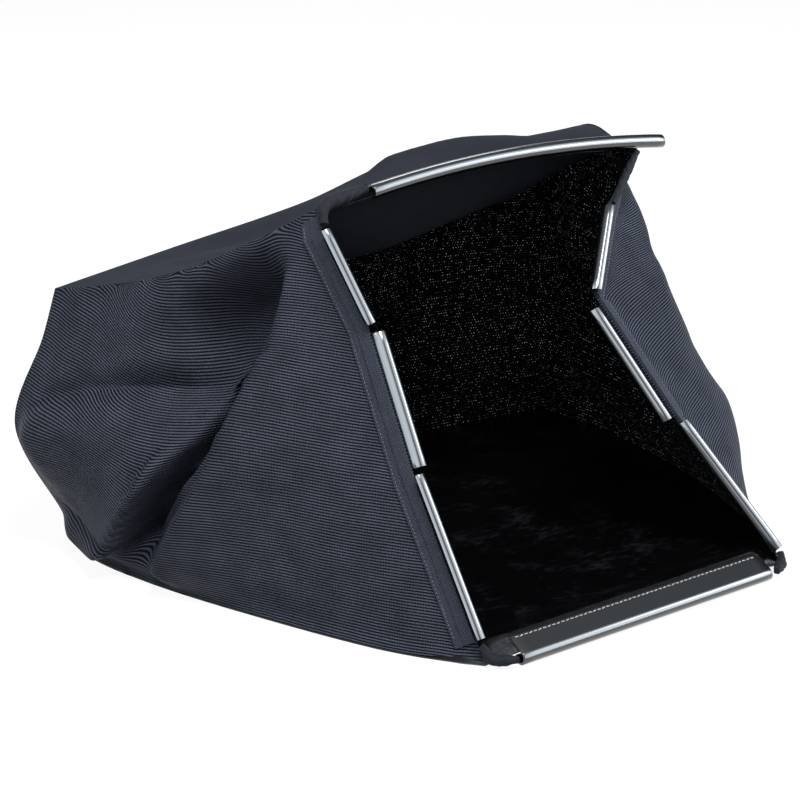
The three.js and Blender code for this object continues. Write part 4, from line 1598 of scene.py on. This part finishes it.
@dataclass
class SnapClips:
    """The extruded clips round the mouth: each a flange with a hook along its front edge."""

    pattern: BagPattern
    shop: Workshop
    edge_round: float = 0.3
    cell: float = 12.0

    ARC_STEPS = 22
    MERGE = 0.01
    BEVEL_OVER = 40.0
    WALL_WEAVE = 2.0
    SMOOTH = 35.0

    def build(self) -> None:
        """Builds the eight clips."""
        s, p = self.pattern.sizes, self.pattern
        for name, (clip, start, end) in p.clips.items():
            self._clip(name, [start, end], ClipSection(s.cloth, False, clip.curl, s.side_turn), clip.length)
        self._clip("top_clip", p.top_clip, ClipSection(s.cloth, True, Curl.INWARD, s.top_turn), s.top_clip)
        self._clip("bottom_clip", p.bottom_clip, ClipSection(s.vinyl, False, Curl.OUTWARD, s.bottom_turn),
                   s.bottom_clip)

    def _clip(self, node: str, stations: list[Station], section: ClipSection, length: float) -> None:
        """Models one clip from a flat strip whose front edge is spun into the hook.

        Args:
            node: The CAD node that it stands for.
            stations: Its stations, from end to end.
            section: Its section.
            length: Its length in millimetres.
        """
        s = self.pattern.sizes
        lift = s.gap + s.clip_wall / 2
        middle = lift if section.outside else -(section.cloth + lift)
        radius = s.channel / 2 + s.clip_wall / 2
        depth = s.clip_flange + s.clip_neck
        deselect_all()
        bpy.ops.mesh.primitive_grid_add(
            x_subdivisions=max(1, round(length / self.cell)), y_subdivisions=3, size=1,
            location=(length / 2, s.clip_flange - depth / 2, middle))
        obj = bpy.context.object
        obj.name = node.replace("_clip", "_hook_clip")
        obj.data.name = obj.name
        obj.scale = (length, depth, 1)
        bpy.ops.object.transform_apply(location=True, rotation=True, scale=True)
        bpy.ops.object.mode_set(mode="EDIT")
        bpy.ops.mesh.select_mode(type="VERT")
        bpy.ops.mesh.select_all(action="DESELECT")
        bpy.ops.object.mode_set(mode="OBJECT")
        for vertex in obj.data.vertices:
            vertex.select = vertex.co.y < -s.clip_neck + self.MERGE
        bpy.ops.object.mode_set(mode="EDIT")
        bpy.ops.mesh.spin(
            steps=self.ARC_STEPS, angle=math.radians(section.turn),
            center=(0, -s.clip_neck, middle + section.curl.value * radius),
            axis=(section.curl.value, 0, 0))
        bpy.ops.mesh.select_all(action="SELECT")
        bpy.ops.mesh.remove_doubles(threshold=self.MERGE)
        bpy.ops.mesh.normals_make_consistent(inside=False)
        bpy.ops.object.mode_set(mode="OBJECT")
        wall = obj.modifiers.new("wall", "SOLIDIFY")
        wall.thickness = s.clip_wall
        wall.offset = 0.0
        wall.use_even_offset = True
        edges = obj.modifiers.new("edges", "BEVEL")
        edges.width = self.edge_round
        edges.segments = 2
        edges.limit_method = "ANGLE"
        edges.angle_limit = math.radians(self.BEVEL_OVER)
        apply_modifiers(obj)
        self._lay(obj, stations, length)
        obj.data.materials.append(PLASTIC.material())
        smooth(obj, self.SMOOTH)
        finish_piece(obj, "clip_plastic", node)

    def _lay(self, obj: Piece, stations: list[Station], length: float) -> None:
        """Moves a clip's points onto its stations, and bends it to their bow.

        Args:
            obj: The clip, modelled along X.
            stations: Its stations, from end to end.
            length: Its length in millimetres.
        """
        local = np.zeros(len(obj.data.vertices) * 3)
        obj.data.vertices.foreach_get("co", local)
        local = local.reshape(-1, 3)
        places = np.linspace(0, length, len(stations))

        def read(values: list[Array]) -> Array:
            """Reads the stations at each point's place along the clip, and past its ends.

            Args:
                values: A point or direction of each station.

            Returns:
                The value at each of the clip's points.
            """
            table = np.array(values)
            slope_low = (table[1] - table[0]) / (places[1] - places[0])
            slope_high = (table[-1] - table[-2]) / (places[-1] - places[-2])
            below = np.minimum(local[:, :1], 0) * slope_low
            above = np.maximum(local[:, :1] - length, 0) * slope_high
            return read_at(local[:, 0], places, table) + below + above

        laid = read([p.point for p in stations])
        laid = laid + read([p.run for p in stations]) * local[:, 1:2]
        laid = laid + read([p.out for p in stations]) * local[:, 2:3]
        round_wall = local[:, 1] + self.WALL_WEAVE * local[:, 2]
        lay_weave(obj.data, np.stack([local[:, 0], round_wall], axis=-1))
        obj.data.vertices.foreach_set("co", self.shop.place(laid).astype(np.float32).ravel())
        obj.data.update()
        for other in list(obj.data.uv_layers):
            if other.name != WEAVE_MAP:
                obj.data.uv_layers.remove(other)


@dataclass(frozen=True)
class StitchStyle:
    """A row of stitches, in millimetres and degrees."""

    pitch: float
    length: float
    radius: float
    tilt: float = 0.0


@dataclass
class Needlework:
    """The visible rows of stitches, with where each row runs on its hem."""

    pattern: BagPattern
    shop: Workshop
    body: BagBody
    hem_column: float = 5.3
    facing_column: float = 4.9
    flange_inset: float = 2.2
    above_cloth: float = 0.1

    HEM_STYLE = StitchStyle(3.6, 2.6, 0.3)
    CLIP_STYLE = StitchStyle(5.2, 4.4, 0.55, 12.0)
    CLIP_ENDS = (0.012, 0.988)
    LINE_STEPS = 200
    BENT_AT = 0.28
    END_FROM = 0.4
    END_DIP = 1.2
    END_WIDTH = 0.6
    BACK_TILT = -0.4
    SMOOTH = 60.0

    def build(self) -> None:
        """Sews the hems, the facing and the bottom clip."""
        s = self.pattern.sizes
        for side in ("left", "right"):
            line, normals = self.body.line_on(side, self.hem_column, s.gap + s.hem + self.above_cloth)
            self._row(f"{side}_hem_stitches", line, normals, self.HEM_STYLE, DARK_THREAD, "ribbed_cloth")
        depth = s.cloth + s.gap + s.hem + self.above_cloth
        line, normals = self.body.line_on("top", self.facing_column, -depth)
        self._row("facing_stitches", line, -normals, self.HEM_STYLE, DARK_THREAD, "smooth_cloth")
        start, end = self.pattern.bottom_clip
        level = -(s.vinyl + s.gap + s.clip_wall) - self.above_cloth
        share = np.linspace(*self.CLIP_ENDS, self.LINE_STEPS)[:, None]
        inward = start.run * (s.clip_flange - self.flange_inset)
        line = mixed(start.point, end.point, share) + inward + start.out * level
        normals = np.repeat(-start.out[None], len(line), axis=0)
        self._row("base_clip_stitches", line, normals, self.CLIP_STYLE, GREY_THREAD, "clip_plastic")

    def _pattern_stitch(self, style: StitchStyle) -> tuple[Array, Faces]:
        """Models one stitch: a short thread whose ends dip into the cloth.

        Args:
            style: Its sizes.

        Returns:
            Its points along X, and its faces.
        """
        deselect_all()
        bpy.ops.mesh.primitive_cylinder_add(
            vertices=6, radius=style.radius, depth=style.length, rotation=(0, math.pi / 2, 0))
        obj = bpy.context.object
        bpy.ops.object.transform_apply(location=True, rotation=True, scale=True)
        bpy.ops.object.mode_set(mode="EDIT")
        for share in (-self.BENT_AT, self.BENT_AT):
            bpy.ops.mesh.select_all(action="SELECT")
            bpy.ops.mesh.bisect(plane_co=(share * style.length, 0, 0), plane_no=(1, 0, 0))
        bpy.ops.mesh.select_all(action="DESELECT")
        bpy.ops.object.mode_set(mode="OBJECT")
        for vertex in obj.data.vertices:
            vertex.select = abs(vertex.co.x) > self.END_FROM * style.length
        bpy.ops.object.mode_set(mode="EDIT")
        bpy.ops.transform.translate(value=(0, 0, -self.END_DIP * style.radius))
        bpy.ops.transform.resize(value=(1, self.END_WIDTH, self.END_WIDTH))
        bpy.ops.object.mode_set(mode="OBJECT")
        points = np.array([tuple(v.co) for v in obj.data.vertices])
        faces = [tuple(f.vertices) for f in obj.data.polygons]
        bpy.data.objects.remove(obj)
        return points, faces

    def _row(self, name: str, line: Array, normals: Array, style: StitchStyle, thread: Finish,
             slot: str) -> None:
        """Lays a row of stitches along a line, as one piece.

        Args:
            name: The piece.
            line: The line's points.
            normals: The way out of the cloth at each.
            style: The stitches' sizes.
            thread: The thread's finish.
            slot: The record's material slot.
        """
        base, base_faces = self._pattern_stitch(style)
        far = walked(line)
        places = np.arange(style.pitch / 2, far[-1] - style.pitch / 2, style.pitch)
        centres, outs = read_at(places, far, line), unit(read_at(places, far, normals))
        along = unit(read_at(places + 0.5, far, line) - read_at(places - 0.5, far, line))
        across = np.cross(outs, along)
        turn = np.radians(style.tilt) * np.where(np.arange(len(places)) % 2, 1.0, self.BACK_TILT)
        turned = along * np.cos(turn)[:, None] + across * np.sin(turn)[:, None]
        across = np.cross(outs, turned)
        points = (centres[:, None] + base[None, :, :1] * turned[:, None]
                  + base[None, :, 1:2] * across[:, None] + base[None, :, 2:] * outs[:, None])
        faces = [tuple(k + n * len(base) for k in face) for n in range(len(places)) for face in base_faces]
        obj = self.shop.mesh(name, points.reshape(-1, 3), faces)
        obj.data.materials.append(thread.material())
        smooth(obj, self.SMOOTH)
        finish_piece(obj, slot)


# Studio

@dataclass(frozen=True)
class Softbox:
    """A studio lamp: where it stands, how large it is and its power in watts."""

    name: str
    place: tuple[float, float, float]
    aim: tuple[float, float, float]
    size: tuple[float, float]
    watts: float


@dataclass(frozen=True)
class TentWall:
    """A lit stretch of the light tent, as glosses see it: where it is, its spread and its strength."""

    way: tuple[float, float, float]
    outer: float
    inner: float
    strength: float


class Studio:
    """White sweep, soft lamps and the camera of the photograph."""

    FLOOR_SIZE = 12.0
    FLOOR_DROP = 0.0006
    FLOOR_PALE = (0.75, 0.75, 0.75, 1)
    FLOOR_SHADED = (0.14, 0.14, 0.14, 1)
    FLOOR_GLOW = 0.92
    WHITE = (1, 1, 1, 1)
    AMBIENT = 0.05
    WHITE_UNDER = 0.04
    DARK_OVER = 0.22
    LAMPS = (
        Softbox("front_softbox", (-0.3, -1.3, 2.75), (0, 0, 0.15), (1.3, 0.9), 118.0),
        Softbox("right_softbox", (2.0, -1.5, 1.2), (0, 0, 0.15), (0.9, 0.9), 26.0),
        Softbox("left_softbox", (-2.2, 0.7, 1.9), (-0.2, 0, 0.2), (0.9, 0.9), 24.0),
        Softbox("rear_softbox", (1.0, 1.8, 1.9), (0, 0, 0.2), (1.6, 0.8), 20.0),
    )
    TENT = (
        TentWall((-0.858, -0.382, 0.342), 58, 8, 7.0),
        TentWall((0.611, -0.728, 0.309), 44, 6, 7.5),
        TentWall((0.0, 0.0, 1.0), 65, 15, 0.6),
    )
    TENT_TINT = (0.82, 0.91, 1.0, 1.0)
    CAMERA_PLACE = (-1.3915, -1.7099, 0.8954)
    CAMERA_AZIMUTH = -38.0
    CAMERA_ELEVATION = 19.0
    LENS_MM = 112.5
    SENSOR_MM = 36.0

    def build(self) -> None:
        """Builds the sweep, the lamps, the world and the camera."""
        self._floor()
        self._world()
        for lamp in self.LAMPS:
            self._lamp(lamp)
        self._camera()
        bpy.context.scene.view_settings.view_transform = "Standard"

    def _floor(self) -> None:
        """Lays the pale floor, which looks white where no shadow falls."""
        deselect_all()
        bpy.ops.mesh.primitive_grid_add(x_subdivisions=8, y_subdivisions=8, size=self.FLOOR_SIZE,
                                        location=(0, 0, -self.FLOOR_DROP))
        floor = bpy.context.object
        floor.name = "studio_floor"
        material = bpy.data.materials.new("painted_sweep")
        material.use_nodes = True
        tree = material.node_tree
        tree.nodes.clear()
        plain = add_node(tree, "BsdfDiffuse", named={"Color": self.FLOOR_PALE})
        shaded = add_node(tree, "BsdfDiffuse", named={"Color": self.FLOOR_SHADED})
        glow = add_node(tree, "Emission", named={"Color": self.WHITE, "Strength": self.FLOOR_GLOW})
        seen = add_node(tree, "AddShader", shaded, glow)
        ray = add_node(tree, "LightPath").node.outputs
        either = add_node(tree, "Math:MAXIMUM", ray["Is Camera Ray"], ray["Is Glossy Ray"])
        either = add_node(tree, "Math:MAXIMUM", either, ray["Is Transmission Ray"])
        surface = add_node(tree, "MixShader", either, plain, seen)
        add_node(tree, "OutputMaterial", named={"Surface": surface})
        floor.data.materials.append(material)

    def _world(self) -> None:
        """Makes the surroundings white to the eye, and dim as a light.

        A gloss sees the white sweep up to the horizon, the studio's dark ceiling above it, and
        the walls of the light tent.
        """
        world = bpy.data.worlds.new("white_room")
        bpy.context.scene.world = world
        world.use_nodes = True
        tree = world.node_tree
        tree.nodes.clear()
        ray = add_node(tree, "LightPath").node.outputs
        way = add_node(tree, "TexCoord", out="Generated")
        height = add_node(tree, "SeparateXYZ", way, out=2)
        tent = add_node(tree, "MapRange", named={
            "Value": height, "From Min": self.WHITE_UNDER, "From Max": self.DARK_OVER,
            "To Min": 1.0, "To Max": 0.0})
        for wall in self.TENT:
            toward = add_node(tree, "VectorMath:DOT_PRODUCT", way, wall.way, out="Value")
            lit = add_node(tree, "MapRange", interpolation_type="SMOOTHSTEP", named={
                "Value": toward, "From Min": math.cos(math.radians(wall.outer)),
                "From Max": math.cos(math.radians(wall.inner)), "To Min": 0.0, "To Max": wall.strength})
            tent = add_node(tree, "Math:ADD", tent, lit)
        gloss = add_node(tree, "Math:MULTIPLY", ray["Is Glossy Ray"], tent)
        either = add_node(tree, "Math:MAXIMUM", ray["Is Camera Ray"], ray["Is Transmission Ray"])
        either = add_node(tree, "Math:MAXIMUM", either, gloss)
        strength = add_node(tree, "Math:MAXIMUM", either, self.AMBIENT)
        tint = add_node(tree, "Mix", **COLOURS, named={
            0: ray["Is Glossy Ray"], 6: self.WHITE, 7: self.TENT_TINT})
        room = add_node(tree, "Background", named={"Color": tint, "Strength": strength})
        add_node(tree, "OutputWorld", named={"Surface": room})

    @staticmethod
    def _lamp(box: Softbox) -> None:
        """Places one lamp.

        Args:
            box: The lamp.
        """
        data = bpy.data.lights.new(box.name, "AREA")
        data.shape = "RECTANGLE"
        data.size, data.size_y = box.size
        data.energy = box.watts
        lamp = bpy.data.objects.new(box.name, data)
        bpy.context.scene.collection.objects.link(lamp)
        away = Vector(box.place) - Vector(box.aim)
        lamp.location = box.place
        lamp.rotation_euler = away.to_track_quat("Z", "Y").to_euler()

    def _camera(self) -> None:
        """Places the camera at the photograph's angle."""
        data = bpy.data.cameras.new("photo_camera")
        data.sensor_width = self.SENSOR_MM
        data.lens = self.LENS_MM
        data.clip_end = 50.0
        camera = bpy.data.objects.new("photo_camera", data)
        bpy.context.scene.collection.objects.link(camera)
        camera.location = self.CAMERA_PLACE
        tilt = math.radians(90 - self.CAMERA_ELEVATION)
        camera.rotation_euler = (tilt, 0, math.radians(self.CAMERA_AZIMUTH))
        bpy.context.scene.camera = camera


def main() -> None:
    """Builds the studio and the bag, in order."""
    logging.basicConfig(level=logging.INFO, format="%(message)s")
    Studio().build()
    pattern = BagPattern(BagSizes())
    shop = Workshop(pattern)
    body = BagBody(pattern, shop)
    body.build()
    Corners(pattern, shop).build()
    SnapClips(pattern, shop).build()
    Needlework(pattern, shop, body).build()


if __name__ == "__main__":
    main()
